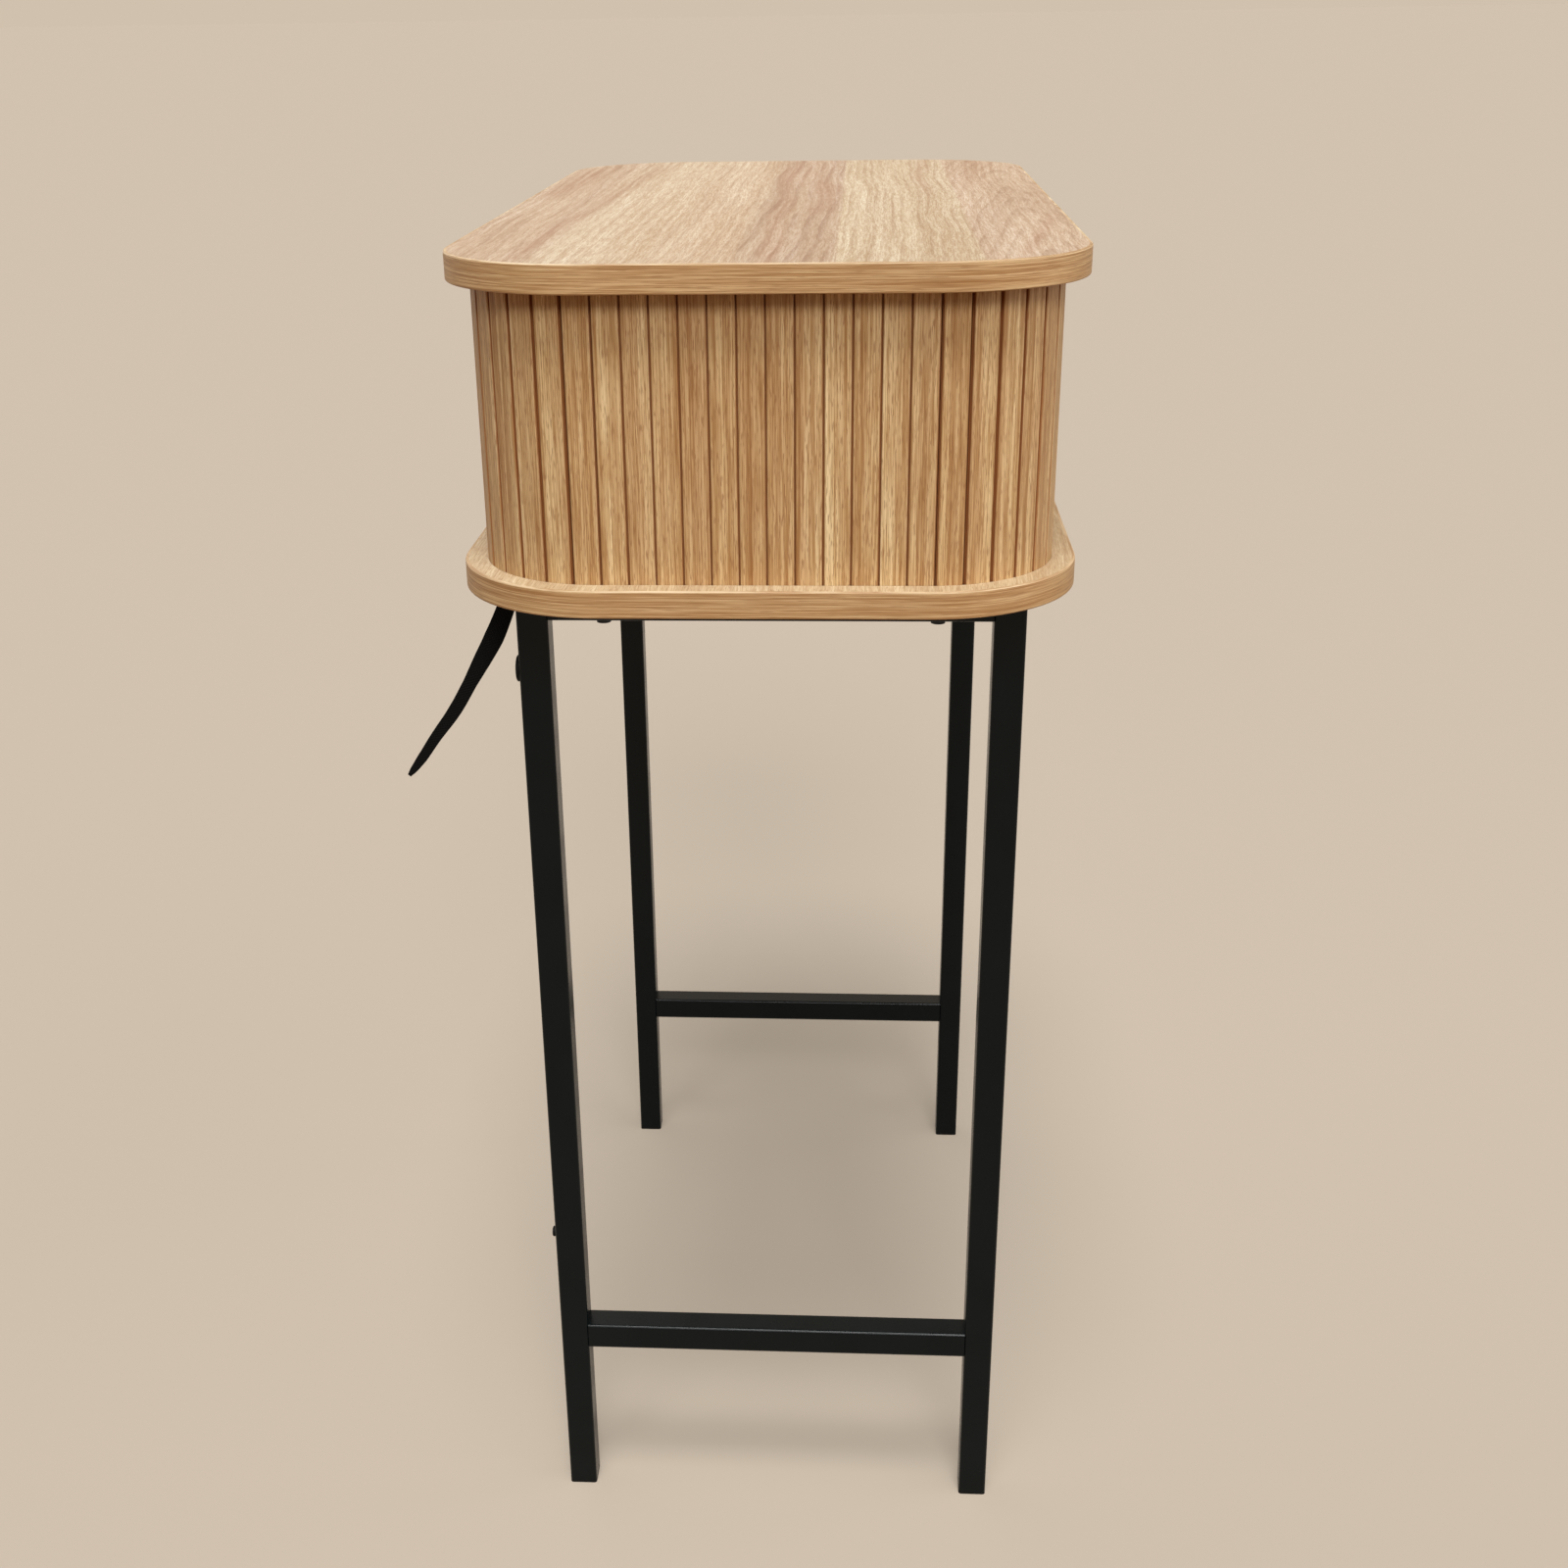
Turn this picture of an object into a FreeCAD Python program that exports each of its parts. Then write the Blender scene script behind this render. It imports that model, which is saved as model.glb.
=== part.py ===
import FreeCAD, Part
import math
import os
import re

import Sketcher

# A small desk: an oak box with a slatted curtain on a frame of steel tube.
# X runs along the length (left end -X), Y from front (-Y) to back (+Y), Z up from the floor.

doc = FreeCAD.newDocument("tambour_desk")
sheet = doc.addObject("Spreadsheet::Sheet", "Sizes")

sizes = {
    # frame of steel tube
    "frame_end_inset": 94,
    "frame_side_inset": 25.5,
    "frame_height": 716,
    "tube_side": 20,
    "tube_wall": 1.5,
    "tube_round": 2,
    "rail_height": 30,
    "crossbar_height": 128,
    "foot_flange": 2,
    "foot_plug": 14,
    "fit_slack": 0.1,
    # boards and the slatted body between them
    "body_length": 685,
    "body_depth": 338,
    "body_corner": 74,
    "board_overhang": 14.5,
    "board_thickness": 16,
    "band_thickness": 2,
    "band_round": 1,
    "curtain_height": 162,
    "track_depth": 6,
    "track_outer_gap": 0.7,
    "track_inner_gap": 1,
    # curtain
    "slat_pitch": 15.8,
    "slat_width": 15,
    "slat_thickness": 5,
    "slat_round": 0.6,
    "tongue_gap": 0.4,
    "canvas_thickness": 1,
    "canvas_margin": 4,
    "tail_lap": 8,
    # lead rails, which meet in the middle of the front
    "meeting_gap": 1,
    "lead_width": 26.8,
    "lead_flat": 14,
    "lead_proud": 6,
    "lead_depth": 12,
    "lead_round": 2,
    "lead_clearance": 1,
    "kerf_depth": 9,
    # uprights, divider and back panel
    "upright_thickness": 16,
    "upright_out_share": 0.78,
    "upright_side_share": 0.56,
    "upright_clearance": 2,
    "divider_clearance": 6,
    "panel_thickness": 6,
    "panel_rebate": 8,
    # outer back, which hides the curtain's tail
    "outer_back_thickness": 6,
    "outer_back_gap": 1.5,
    "outer_back_groove": 5,
    "outer_back_inset": 32.5,
    # fasteners of the box
    "dowel_diameter": 8,
    "dowel_length": 30,
    "dowel_hold": 10,
    "dowel_inset": 79,
    "cam_diameter": 15,
    "cam_depth": 12,
    "cam_setback": 24,
    "cam_slot_span": 9,
    "cam_slot_width": 1.6,
    "cam_slot_depth": 1.5,
    "cam_inset": 34,
    "cam_bolt_diameter": 6,
    "cam_bolt_hold": 10,
    "cam_bolt_stop": 2,
    "base_screw_diameter": 5,
    "base_screw_head": 10,
    "base_screw_length": 50,
    "base_screw_inset": 34,
    "panel_screw_diameter": 3,
    "panel_screw_head": 6,
    "panel_screw_head_height": 1.8,
    "panel_screw_length": 18,
    "panel_screw_inset": 30,
    # bolts between the frame and the base board
    "rail_bolt_diameter": 5,
    "rail_bolt_head": 9,
    "rail_bolt_head_height": 3,
    "rail_bolt_grip": 10,
    "rail_bolt_socket": 3.4,
    "rail_bolt_socket_depth": 1.8,
    "rail_bolt_inset": 34,
    "insert_diameter": 8,
    "insert_length": 11,
    # plugs in the back face of the left back leg
    "upper_plug_drop": 64,
    "upper_plug_diameter": 17,
    "upper_plug_thickness": 2.6,
    "lower_plug_height": 224,
    "lower_plug_diameter": 7.5,
    "lower_plug_thickness": 3.2,
    "plug_round": 1,
    "plug_stem_share": 0.6,
    "plug_depth": 6,
    # wall strap and its bracket
    "strap_thickness": 1.4,
    "strap_inset": 11,
    "bracket_width": 24,
    "bracket_depth": 32,
    "bracket_height": 12,
    "bracket_margin": 10.5,
    "bracket_wall": 5,
    "slot_length": 26,
    "strap_screw_inset": 16,
    "strap_screw_diameter": 4,
    "strap_screw_head": 8,
    "strap_screw_head_height": 2.4,
    "strap_screw_hold": 8,
    # how far a cutter runs past the face that it opens
    "overrun": 2,
}
for row, (alias, figure) in enumerate(sizes.items(), start=1):
    sheet.set(f"A{row}", alias)
    sheet.set(f"B{row}", str(figure))
    sheet.setAlias(f"B{row}", alias)
doc.recompute()


def formula(text):
    return re.sub(r"[a-z][a-z_]+", lambda word: "Sizes." + word.group(0), text)


def number(text):
    return float(sheet.evalExpression(formula(text)))


# places that several pieces share, as formulas of the named sizes
frame_end = "(body_length/2 + board_overhang - frame_end_inset)"
leg_back = "(body_depth/2 + board_overhang - frame_side_inset)"
leg_x = f"({frame_end} - tube_side/2)"
leg_y = f"({leg_back} - tube_side/2)"
rail_end = f"({leg_back} - tube_side)"
base_under = "frame_height"
base_top = "(frame_height + board_thickness)"
top_under = "(frame_height + board_thickness + curtain_height)"
canvas_line = "(body_depth/2 - slat_thickness)"
inner_radius = "(body_corner - slat_thickness - canvas_thickness - upright_clearance)"
upright_x = f"(body_length/2 - body_corner + upright_out_share*{inner_radius})"
upright_y = f"(body_depth/2 - body_corner + upright_side_share*{inner_radius})"
upright_face = f"({upright_x} - upright_thickness)"
upright_mid = f"({upright_x} - upright_thickness/2)"
divider_front = "(body_depth/2 - lead_depth - divider_clearance)"
panel_front = f"({upright_y} - panel_thickness)"
cam_z = f"({top_under} - cam_setback)"
lead_start = "(meeting_gap/2 + lead_width)"
strap_x = f"({frame_end} - tube_side - strap_inset)"
bracket_back = "(body_depth/2 + board_overhang - bracket_margin)"
bracket_y = f"({bracket_back} - bracket_depth/2)"
bracket_under = f"({base_under} - bracket_height)"
bracket_side = f"({strap_x} + bracket_wall + fit_slack + strap_thickness/2)"
strap_screw_x = f"({bracket_side} - strap_screw_inset)"

nodes = {}
turns = {
    "x": FreeCAD.Rotation(FreeCAD.Vector(0, 1, 0), 90),
    "y": FreeCAD.Rotation(FreeCAD.Vector(1, 0, 0), -90),
    "z": FreeCAD.Rotation(),
}


def node(label, thing):
    thing.Label = label
    nodes[label] = thing
    return thing


def place(thing, x, y, z):
    for axis, text in zip("xyz", (x, y, z)):
        thing.setExpression(f"Placement.Base.{axis}", formula(text))


def block(name, low, high):
    thing = doc.addObject("Part::Box", name)
    for side, start, end in zip(("Length", "Width", "Height"), low, high):
        thing.setExpression(side, formula(f"({end}) - ({start})"))
    place(thing, *low)
    return thing


def round_bar(name, diameter, length, start, along):
    thing = doc.addObject("Part::Cylinder", name)
    thing.setExpression("Radius", formula(f"({diameter})/2"))
    thing.setExpression("Height", formula(length))
    thing.Placement.Rotation = turns[along]
    place(thing, *start)
    return thing


def cone(name, wide, narrow, length, start):
    thing = doc.addObject("Part::Cone", name)
    thing.setExpression("Radius1", formula(f"({wide})/2"))
    thing.setExpression("Radius2", formula(f"({narrow})/2"))
    thing.setExpression("Height", formula(length))
    place(thing, *start)
    return thing


def joined(name, pieces):
    thing = doc.addObject("Part::MultiFuse", name)
    thing.Shapes = pieces
    return thing


def group(name, pieces):
    thing = doc.addObject("Part::Compound", name)
    thing.Links = pieces
    return thing


def cut(name, piece, cutters):
    thing = doc.addObject("Part::Cut", name)
    thing.Base = piece
    thing.Tool = cutters[0] if len(cutters) == 1 else joined(name + "_cutters", cutters)
    return thing


def mirrored(name, source):
    thing = doc.addObject("Part::Mirroring", name)
    thing.Source = source
    thing.Normal = FreeCAD.Vector(1, 0, 0)
    return thing


def new_sketch(body, name, plane, height="0"):
    sketch = body.newObject("Sketcher::SketchObject", name)
    support = [item for item in body.Origin.OriginFeatures if item.Role == plane]
    sketch.AttachmentSupport = [(support[0], "")]
    sketch.MapMode = "FlatFace"
    sketch.setExpression("AttachmentOffset.Base.z", formula(height))
    return sketch


def hold(sketch, kind, ends, text):
    spot = sketch.addConstraint(Sketcher.Constraint(kind, *ends, number(text)))
    sketch.setExpression(f"Constraints[{spot}]", formula(text))


def rounded_loop(sketch, width, depth, radius):
    # a rectangle about the sketch's origin: four corner arcs, then four sides between them
    first = sketch.GeometryCount
    bend = number(radius)
    right = number(width) / 2 - bend
    back = number(depth) / 2 - bend
    arcs = []
    for corner, (x, y) in enumerate(((right, back), (-right, back), (-right, -back), (right, -back))):
        circle = Part.Circle(FreeCAD.Vector(x, y, 0), FreeCAD.Vector(0, 0, 1), bend)
        arcs.append(Part.ArcOfCircle(circle, corner * math.pi / 2, (corner + 1) * math.pi / 2))
        sketch.addGeometry(arcs[-1])
    for corner in range(4):
        following = arcs[(corner + 1) % 4]
        sketch.addGeometry(Part.LineSegment(arcs[corner].EndPoint, following.StartPoint))
    sides = [first + 4 + corner for corner in range(4)]
    for corner in range(4):
        sketch.addConstraint(Sketcher.Constraint("Tangent", first + corner, 2, sides[corner], 1))
        sketch.addConstraint(Sketcher.Constraint("Tangent", sides[corner], 2, first + (corner + 1) % 4, 1))
        sketch.addConstraint(Sketcher.Constraint("Vertical" if corner % 2 else "Horizontal", sides[corner]))
    for corner in range(1, 4):
        sketch.addConstraint(Sketcher.Constraint("Equal", first, first + corner))
    sketch.addConstraint(Sketcher.Constraint("Symmetric", first, 3, first + 2, 3, -1, 1))
    hold(sketch, "Radius", (first,), radius)
    hold(sketch, "DistanceX", (sides[1], 1, sides[3], 1), width)
    hold(sketch, "DistanceY", (sides[2], 1, sides[0], 1), depth)


def polygon(sketch, corners):
    spots = [FreeCAD.Vector(number(x), number(y), 0) for x, y in corners]
    for index, spot in enumerate(spots):
        sketch.addGeometry(Part.LineSegment(spot, spots[(index + 1) % len(spots)]))
    for index, (x, y) in enumerate(corners):
        sketch.addConstraint(Sketcher.Constraint("Coincident", (index - 1) % len(spots), 2, index, 1))
        hold(sketch, "DistanceX", (-1, 1, index, 1), x)
        hold(sketch, "DistanceY", (-1, 1, index, 1), y)


def pad(body, sketch, length, symmetric=False):
    feature = body.newObject("PartDesign::Pad", sketch.Name + "_pad")
    feature.Profile = sketch
    feature.SideType = "Symmetric" if symmetric else "One side"
    feature.setExpression("Length", formula(length))
    return feature


def fillet(body, base, radius, chosen):
    doc.recompute()
    edges = [f"Edge{spot}" for spot, edge in enumerate(base.Shape.Edges, start=1) if chosen(edge.BoundBox)]
    feature = body.newObject("PartDesign::Fillet", body.Name + "_fillet")
    feature.Base = (base, edges)
    feature.setExpression("Radius", formula(radius))
    return feature


# loops at a distance outside the curtain's outer face
def body_loop(sketch, offset):
    rounded_loop(
        sketch, f"body_length + 2*{offset}", f"body_depth + 2*{offset}", f"body_corner + {offset}"
    )


# boards: a rounded panel with the curtain's track as a ring-shaped groove
def board(name, track_height, upwards):
    body = doc.addObject("PartDesign::Body", name)
    outline = new_sketch(body, name + "_outline", "XY_Plane")
    body_loop(outline, "(board_overhang - band_thickness)")
    panel = pad(body, outline, "board_thickness")
    track = new_sketch(body, name + "_track", "XY_Plane", track_height)
    for offset in ("track_outer_gap", "(-slat_thickness - track_inner_gap)"):
        body_loop(track, offset)
    groove = body.newObject("PartDesign::Pocket", name + "_groove")
    groove.Profile = track
    groove.Reversed = upwards
    groove.setExpression("Length", formula("track_depth"))
    doc.recompute()
    if groove.Shape.Volume >= panel.Shape.Volume - number("track_depth*body_length*slat_thickness"):
        raise RuntimeError(f"{name}: the track was not cut")
    return body


# the band glued round a board's edge, with its outer edges softened
def edge_band(name, height):
    body = doc.addObject("PartDesign::Body", name)
    ring = new_sketch(body, name + "_ring", "XY_Plane")
    for offset in ("board_overhang", "(board_overhang - band_thickness)"):
        body_loop(ring, offset)
    strip = pad(body, ring, "board_thickness")
    end = number("body_length/2 + board_overhang - band_thickness/2")
    side = number("body_depth/2 + board_overhang - band_thickness/2")
    fillet(
        body,
        strip,
        "band_round",
        lambda box: box.ZLength < number("band_round") / 2
        and (max(-box.XMin, box.XMax) > end or max(-box.YMin, box.YMax) > side),
    )
    place(body, "0", "0", height)
    return node(name, body)


base_blank = board("base_blank", "board_thickness", False)
place(base_blank, "0", "0", base_under)
edge_band("base_edge_band", base_under)
top_blank = board("top_blank", "0", True)
place(top_blank, "0", "0", top_under)
edge_band("top_edge_band", top_under)

# what stands between the boards: two uprights and a divider, each with where its cam discs start along X
supports = {
    "left_upright": (f"-{upright_mid}", f"-{upright_face} - cam_depth"),
    "centre_divider": ("0", "upright_thickness/2 - cam_depth"),
    "right_upright": (upright_mid, upright_face),
}
rows = ("-1", "1")

base_cutters = []
top_cutters = []
support_cutters = {}
dowels = []
cam_discs = []
cam_bolts = []
base_screws = []
panel_screws = []
countersink = "((base_screw_head - base_screw_diameter)/2)"
panel_screw_x = {
    "left_upright": f"-{upright_face} - panel_rebate/2",
    "centre_divider": "0",
    "right_upright": f"{upright_face} + panel_rebate/2",
}
for support, (middle, cam_start) in supports.items():
    holes = []
    for row in rows:
        tag = f"{support}_{'front' if row == '-1' else 'back'}"
        dowel_y = f"{row}*({upright_y} - dowel_inset)"
        levels = (
            ("base", f"{base_top} - dowel_hold", base_cutters),
            ("top", f"{top_under} + dowel_hold - dowel_length", top_cutters),
        )
        for level, sunk, cutters in levels:
            start = (middle, dowel_y, sunk)
            dowels.append(
                round_bar(f"{tag}_{level}_dowel", "dowel_diameter", "dowel_length", start, "z")
            )
            start = (middle, dowel_y, f"{sunk} - fit_slack")
            wide = "dowel_diameter + 2*fit_slack"
            bore = round_bar(f"{tag}_{level}_dowel_hole", wide, "dowel_length + 2*fit_slack", start, "z")
            holes.append(bore)
            cutters.append(bore)
        # cam fixing to the top board: a disc in the side, a bolt down from the board
        cam_y = f"{row}*({upright_y} - cam_inset)"
        disc = round_bar(f"{tag}_disc", "cam_diameter", "cam_depth", (cam_start, cam_y, cam_z), "x")
        channel_wide = "cam_bolt_diameter + 2*fit_slack"
        channel = round_bar(f"{tag}_channel", channel_wide, "cam_setback", (middle, cam_y, cam_z), "z")
        open_end = "- overrun" if support == "right_upright" else ""
        slot_start = f"{cam_start} {open_end or '+ cam_depth - cam_slot_depth'}"
        slot_end = f"{slot_start} + cam_slot_depth + overrun"
        slots = []
        for way, (half_y, half_z) in {
            "level": ("cam_slot_span/2", "cam_slot_width/2"),
            "upright": ("cam_slot_width/2", "cam_slot_span/2"),
        }.items():
            low = (slot_start, f"{cam_y} - {half_y}", f"{cam_z} - {half_z}")
            high = (slot_end, f"{cam_y} + {half_y}", f"{cam_z} + {half_z}")
            slots.append(block(f"{tag}_{way}_slot", low, high))
        cam_discs.append(cut(f"{tag}_cam", disc, [channel] + slots))
        socket = round_bar(
            f"{tag}_cam_socket",
            "cam_diameter + 2*fit_slack",
            "cam_depth + overrun",
            (f"{cam_start} {open_end}", cam_y, cam_z),
            "x",
        )
        bolt_length = "cam_setback - cam_bolt_stop + cam_bolt_hold"
        start = (middle, cam_y, f"{cam_z} + cam_bolt_stop")
        cam_bolts.append(round_bar(f"{tag}_cam_bolt", "cam_bolt_diameter", bolt_length, start, "z"))
        way_length = "cam_setback + cam_bolt_hold + fit_slack"
        bolt_way = round_bar(f"{tag}_bolt_way", channel_wide, way_length, (middle, cam_y, cam_z), "z")
        holes += [socket, bolt_way]
        top_cutters.append(bolt_way)
        # countersunk screw up through the base board
        screw_y = f"{row}*({upright_y} - base_screw_inset)"
        start = (middle, screw_y, base_under)
        shank = round_bar(f"{tag}_shank", "base_screw_diameter", "base_screw_length", start, "z")
        head = cone(f"{tag}_head", "base_screw_head", "base_screw_diameter", countersink, start)
        base_screws.append(joined(f"{tag}_base_screw", [shank, head]))
        screw_way = round_bar(
            f"{tag}_screw_way",
            "base_screw_diameter + 2*fit_slack",
            "base_screw_length + overrun + fit_slack",
            (middle, screw_y, f"{base_under} - overrun"),
            "z",
        )
        sink = cone(
            f"{tag}_sink",
            "base_screw_head + 2*fit_slack",
            "base_screw_diameter + 2*fit_slack",
            countersink,
            start,
        )
        holes.append(screw_way)
        base_cutters += [screw_way, sink]
        # screw through the back panel
        x = panel_screw_x[support]
        z = f"{base_top} + curtain_height/2 + {row}*(curtain_height/2 - panel_screw_inset)"
        stem = round_bar(
            f"{tag}_stem",
            "panel_screw_diameter",
            "panel_screw_length",
            (x, f"{upright_y} - panel_screw_length", z),
            "y",
        )
        button = round_bar(
            f"{tag}_button", "panel_screw_head", "panel_screw_head_height", (x, upright_y, z), "y"
        )
        panel_screws.append(joined(f"{tag}_panel_screw", [stem, button]))
        stem_way = round_bar(
            f"{tag}_stem_way",
            "panel_screw_diameter + 2*fit_slack",
            "panel_screw_length + overrun + fit_slack",
            (x, f"{upright_y} - panel_screw_length - fit_slack", z),
            "y",
        )
        holes.append(stem_way)
        support_cutters.setdefault("back_panel", []).append(stem_way)
    support_cutters[support] = holes

node("dowels", group("dowel_set", dowels))
node("cam_discs", group("cam_disc_set", cam_discs))
node("cam_bolts", group("cam_bolt_set", cam_bolts))
node("base_screws", group("base_screw_set", base_screws))
node("back_panel_screws", group("panel_screw_set", panel_screws))

for support, sign in (("left_upright", "-1"), ("right_upright", "1")):
    near, far = (upright_x, upright_face) if sign == "-1" else (upright_face, upright_x)
    blank = block(
        f"{support}_blank",
        (f"{sign}*{near}", f"-{upright_y}", base_top),
        (f"{sign}*{far}", upright_y, top_under),
    )
    lip = (f"{upright_face} + panel_rebate", f"{upright_face} - overrun")
    near, far = lip if sign == "-1" else lip[::-1]
    rebate = block(
        f"{support}_rebate",
        (f"{sign}*({near})", panel_front, f"{base_top} - overrun"),
        (f"{sign}*({far})", f"{upright_y} + overrun", f"{top_under} + overrun"),
    )
    node(support, cut(support, blank, support_cutters[support] + [rebate]))

divider_blank = block(
    "divider_blank",
    ("-upright_thickness/2", f"-{divider_front}", base_top),
    ("upright_thickness/2", panel_front, top_under),
)
node("centre_divider", cut("centre_divider", divider_blank, support_cutters["centre_divider"]))

outer_front = "(body_depth/2 + outer_back_gap)"
outer_end = "(body_length/2 - body_corner - outer_back_inset)"
outer_size = []
for slack, sink in (("0", "outer_back_groove - fit_slack"), ("fit_slack", "outer_back_groove")):
    low = (f"-{outer_end} - {slack}", f"{outer_front} - {slack}", f"{base_top} - ({sink})")
    back = f"{outer_front} + outer_back_thickness + {slack}"
    outer_size.append((low, (f"{outer_end} + {slack}", back, f"{top_under} + ({sink})")))
node("outer_back", block("outer_back", *outer_size[0]))
outer_groove = block("outer_back_room", *outer_size[1])
base_cutters.append(outer_groove)
top_cutters.append(outer_groove)

panel_blank = block(
    "panel_blank",
    (f"-{upright_face} - panel_rebate", panel_front, base_top),
    (f"{upright_face} + panel_rebate", upright_y, top_under),
)
node("back_panel", cut("back_panel", panel_blank, support_cutters["back_panel"]))


# frame: each tube is a hollow rounded square, or a taller one for the top rails
def tube(name, plane, length, symmetric, height="tube_side"):
    body = doc.addObject("PartDesign::Body", name)
    section = new_sketch(body, name + "_section", plane)
    rounded_loop(section, "tube_side", height, "tube_round")
    rounded_loop(section, "tube_side - 2*tube_wall", f"{height} - 2*tube_wall", "tube_round - tube_wall")
    pad(body, section, length, symmetric)
    return body


def foot(name):
    body = doc.addObject("PartDesign::Body", name)
    flange = new_sketch(body, name + "_flange", "XY_Plane")
    rounded_loop(flange, "tube_side", "tube_side", "tube_round")
    pad(body, flange, "foot_flange")
    plug = new_sketch(body, name + "_plug", "XY_Plane")
    side = "tube_side - 2*tube_wall - 2*fit_slack"
    rounded_loop(plug, side, side, "tube_round - tube_wall")
    pad(body, plug, "foot_flange + foot_plug")
    return body


# plugs close two coating vents in the back of the left back leg
plug_holes = []
for level, height in (("upper", "frame_height - upper_plug_drop"), ("lower", "lower_plug_height")):
    size = f"{level}_plug_diameter"
    body = doc.addObject("PartDesign::Body", f"{level}_plug_blank")
    ring = new_sketch(body, f"{level}_plug_ring", "XZ_Plane")
    ring.addGeometry(Part.Circle(FreeCAD.Vector(), FreeCAD.Vector(0, 0, 1), number(size) / 2))
    ring.addConstraint(Sketcher.Constraint("Coincident", 0, 3, -1, 1))
    hold(ring, "Diameter", (0,), size)
    button = pad(body, ring, f"{level}_plug_thickness")
    button.Reversed = True
    fillet(body, button, "plug_round", lambda box: box.YMin > number("plug_round"))
    place(body, f"-{leg_x}", leg_back, height)
    stem = round_bar(
        f"{level}_plug_stem",
        f"{size}*plug_stem_share",
        "plug_depth + plug_round",
        (f"-{leg_x}", f"{leg_back} - plug_depth", height),
        "y",
    )
    node(f"{level}_leg_plug", joined(f"{level}_leg_plug", [body, stem]))
    plug_holes.append(
        round_bar(
            f"{level}_plug_hole",
            f"{size}*plug_stem_share + 2*fit_slack",
            "plug_depth + overrun",
            (f"-{leg_x}", f"{leg_back} - plug_depth", height),
            "y",
        )
    )

rail_bolts = []
inserts = []
for end, side in (("left", "-1"), ("right", "1")):
    x = f"{side}*{leg_x}"
    for position, way in (("front", "-1"), ("back", "1")):
        y = f"{way}*{leg_y}"
        leg = tube(f"{end}_{position}_tube", "XY_Plane", "frame_height - foot_flange", False)
        place(leg, x, y, "foot_flange")
        cap = foot(f"{end}_{position}_foot")
        place(cap, x, y, "0")
        node(f"{end}_{position}_leg_cap", cap)
        if position == "front":
            node(f"{end}_front_leg", leg)
            continue
        node(f"{end}_back_leg", cut(f"{end}_back_leg", leg, plug_holes) if end == "left" else leg)

    crossbar = tube(f"{end}_crossbar", "XZ_Plane", f"2*{rail_end}", True)
    place(crossbar, x, "0", "crossbar_height + tube_side/2")
    node(f"{end}_crossbar", crossbar)

    rail = tube(f"{end}_rail_tube", "XZ_Plane", f"2*{rail_end}", True, "rail_height")
    rail_under = f"({base_under} - rail_height)"
    place(rail, x, "0", f"{base_under} - rail_height/2")
    bolt_holes = []
    for row in rows:
        tag = f"{end}_rail_{'front' if row == '-1' else 'back'}"
        y = f"{row}*({rail_end} - rail_bolt_inset)"
        clear = "rail_bolt_diameter + 2*fit_slack"
        bolt_holes.append(
            round_bar(
                f"{tag}_hole", clear, "rail_height + 2*overrun", (x, y, f"{rail_under} - overrun"), "z"
            )
        )
        shank = round_bar(
            f"{tag}_shank", "rail_bolt_diameter", "rail_height + rail_bolt_grip", (x, y, rail_under), "z"
        )
        head = round_bar(
            f"{tag}_head",
            "rail_bolt_head",
            "rail_bolt_head_height",
            (x, y, f"{rail_under} - rail_bolt_head_height"),
            "z",
        )
        socket = doc.addObject("Part::Prism", f"{tag}_socket")
        socket.Polygon = 6
        socket.setExpression("Circumradius", formula("rail_bolt_socket/2"))
        socket.setExpression("Height", formula("rail_bolt_socket_depth + overrun"))
        place(socket, x, y, f"{rail_under} - rail_bolt_head_height - overrun")
        rail_bolts.append(cut(f"{tag}_drive", joined(f"{tag}_bolt", [shank, head]), [socket]))
        sleeve = round_bar(f"{tag}_sleeve", "insert_diameter", "insert_length", (x, y, base_under), "z")
        thread = round_bar(
            f"{tag}_thread", clear, "insert_length + 2*overrun", (x, y, f"{base_under} - overrun"), "z"
        )
        inserts.append(cut(f"{tag}_insert", sleeve, [thread]))
        base_cutters.append(
            round_bar(
                f"{tag}_insert_hole",
                "insert_diameter + 2*fit_slack",
                "insert_length + overrun + fit_slack",
                (x, y, f"{base_under} - overrun"),
                "z",
            )
        )
    node(f"{end}_top_rail", cut(f"{end}_top_rail", rail, bolt_holes))

node("rail_bolts", group("rail_bolt_set", rail_bolts))
node("threaded_inserts", group("insert_set", inserts))

# wall strap: a flat nylon strap that leaves its bracket under the base and tapers to a point
bracket_blank = block(
    "bracket_blank",
    (f"-{bracket_side}", f"{bracket_back} - bracket_depth", bracket_under),
    (f"-{bracket_side} + bracket_width", bracket_back, base_under),
)
slot_half = "(strap_thickness/2 + fit_slack)"
slot = block(
    "strap_slot",
    (f"-{strap_x} - {slot_half}", f"{bracket_y} - slot_length/2", f"{bracket_under} - overrun"),
    (f"-{strap_x} + {slot_half}", f"{bracket_y} + slot_length/2", f"{base_under} + overrun"),
)
strap_screw_way = round_bar(
    "strap_screw_way",
    "strap_screw_diameter + 2*fit_slack",
    "bracket_height + strap_screw_hold + overrun + fit_slack",
    (f"-{strap_screw_x}", bracket_y, f"{bracket_under} - overrun"),
    "z",
)
node("strap_bracket", cut("strap_bracket", bracket_blank, [slot, strap_screw_way]))
base_cutters.append(strap_screw_way)
screw_stem = round_bar(
    "strap_screw_stem",
    "strap_screw_diameter",
    "bracket_height + strap_screw_hold",
    (f"-{strap_screw_x}", bracket_y, bracket_under),
    "z",
)
screw_head = round_bar(
    "strap_screw_head_disc",
    "strap_screw_head",
    "strap_screw_head_height",
    (f"-{strap_screw_x}", bracket_y, f"{bracket_under} - strap_screw_head_height"),
    "z",
)
node("strap_screw", joined("strap_screw", [screw_stem, screw_head]))

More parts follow.
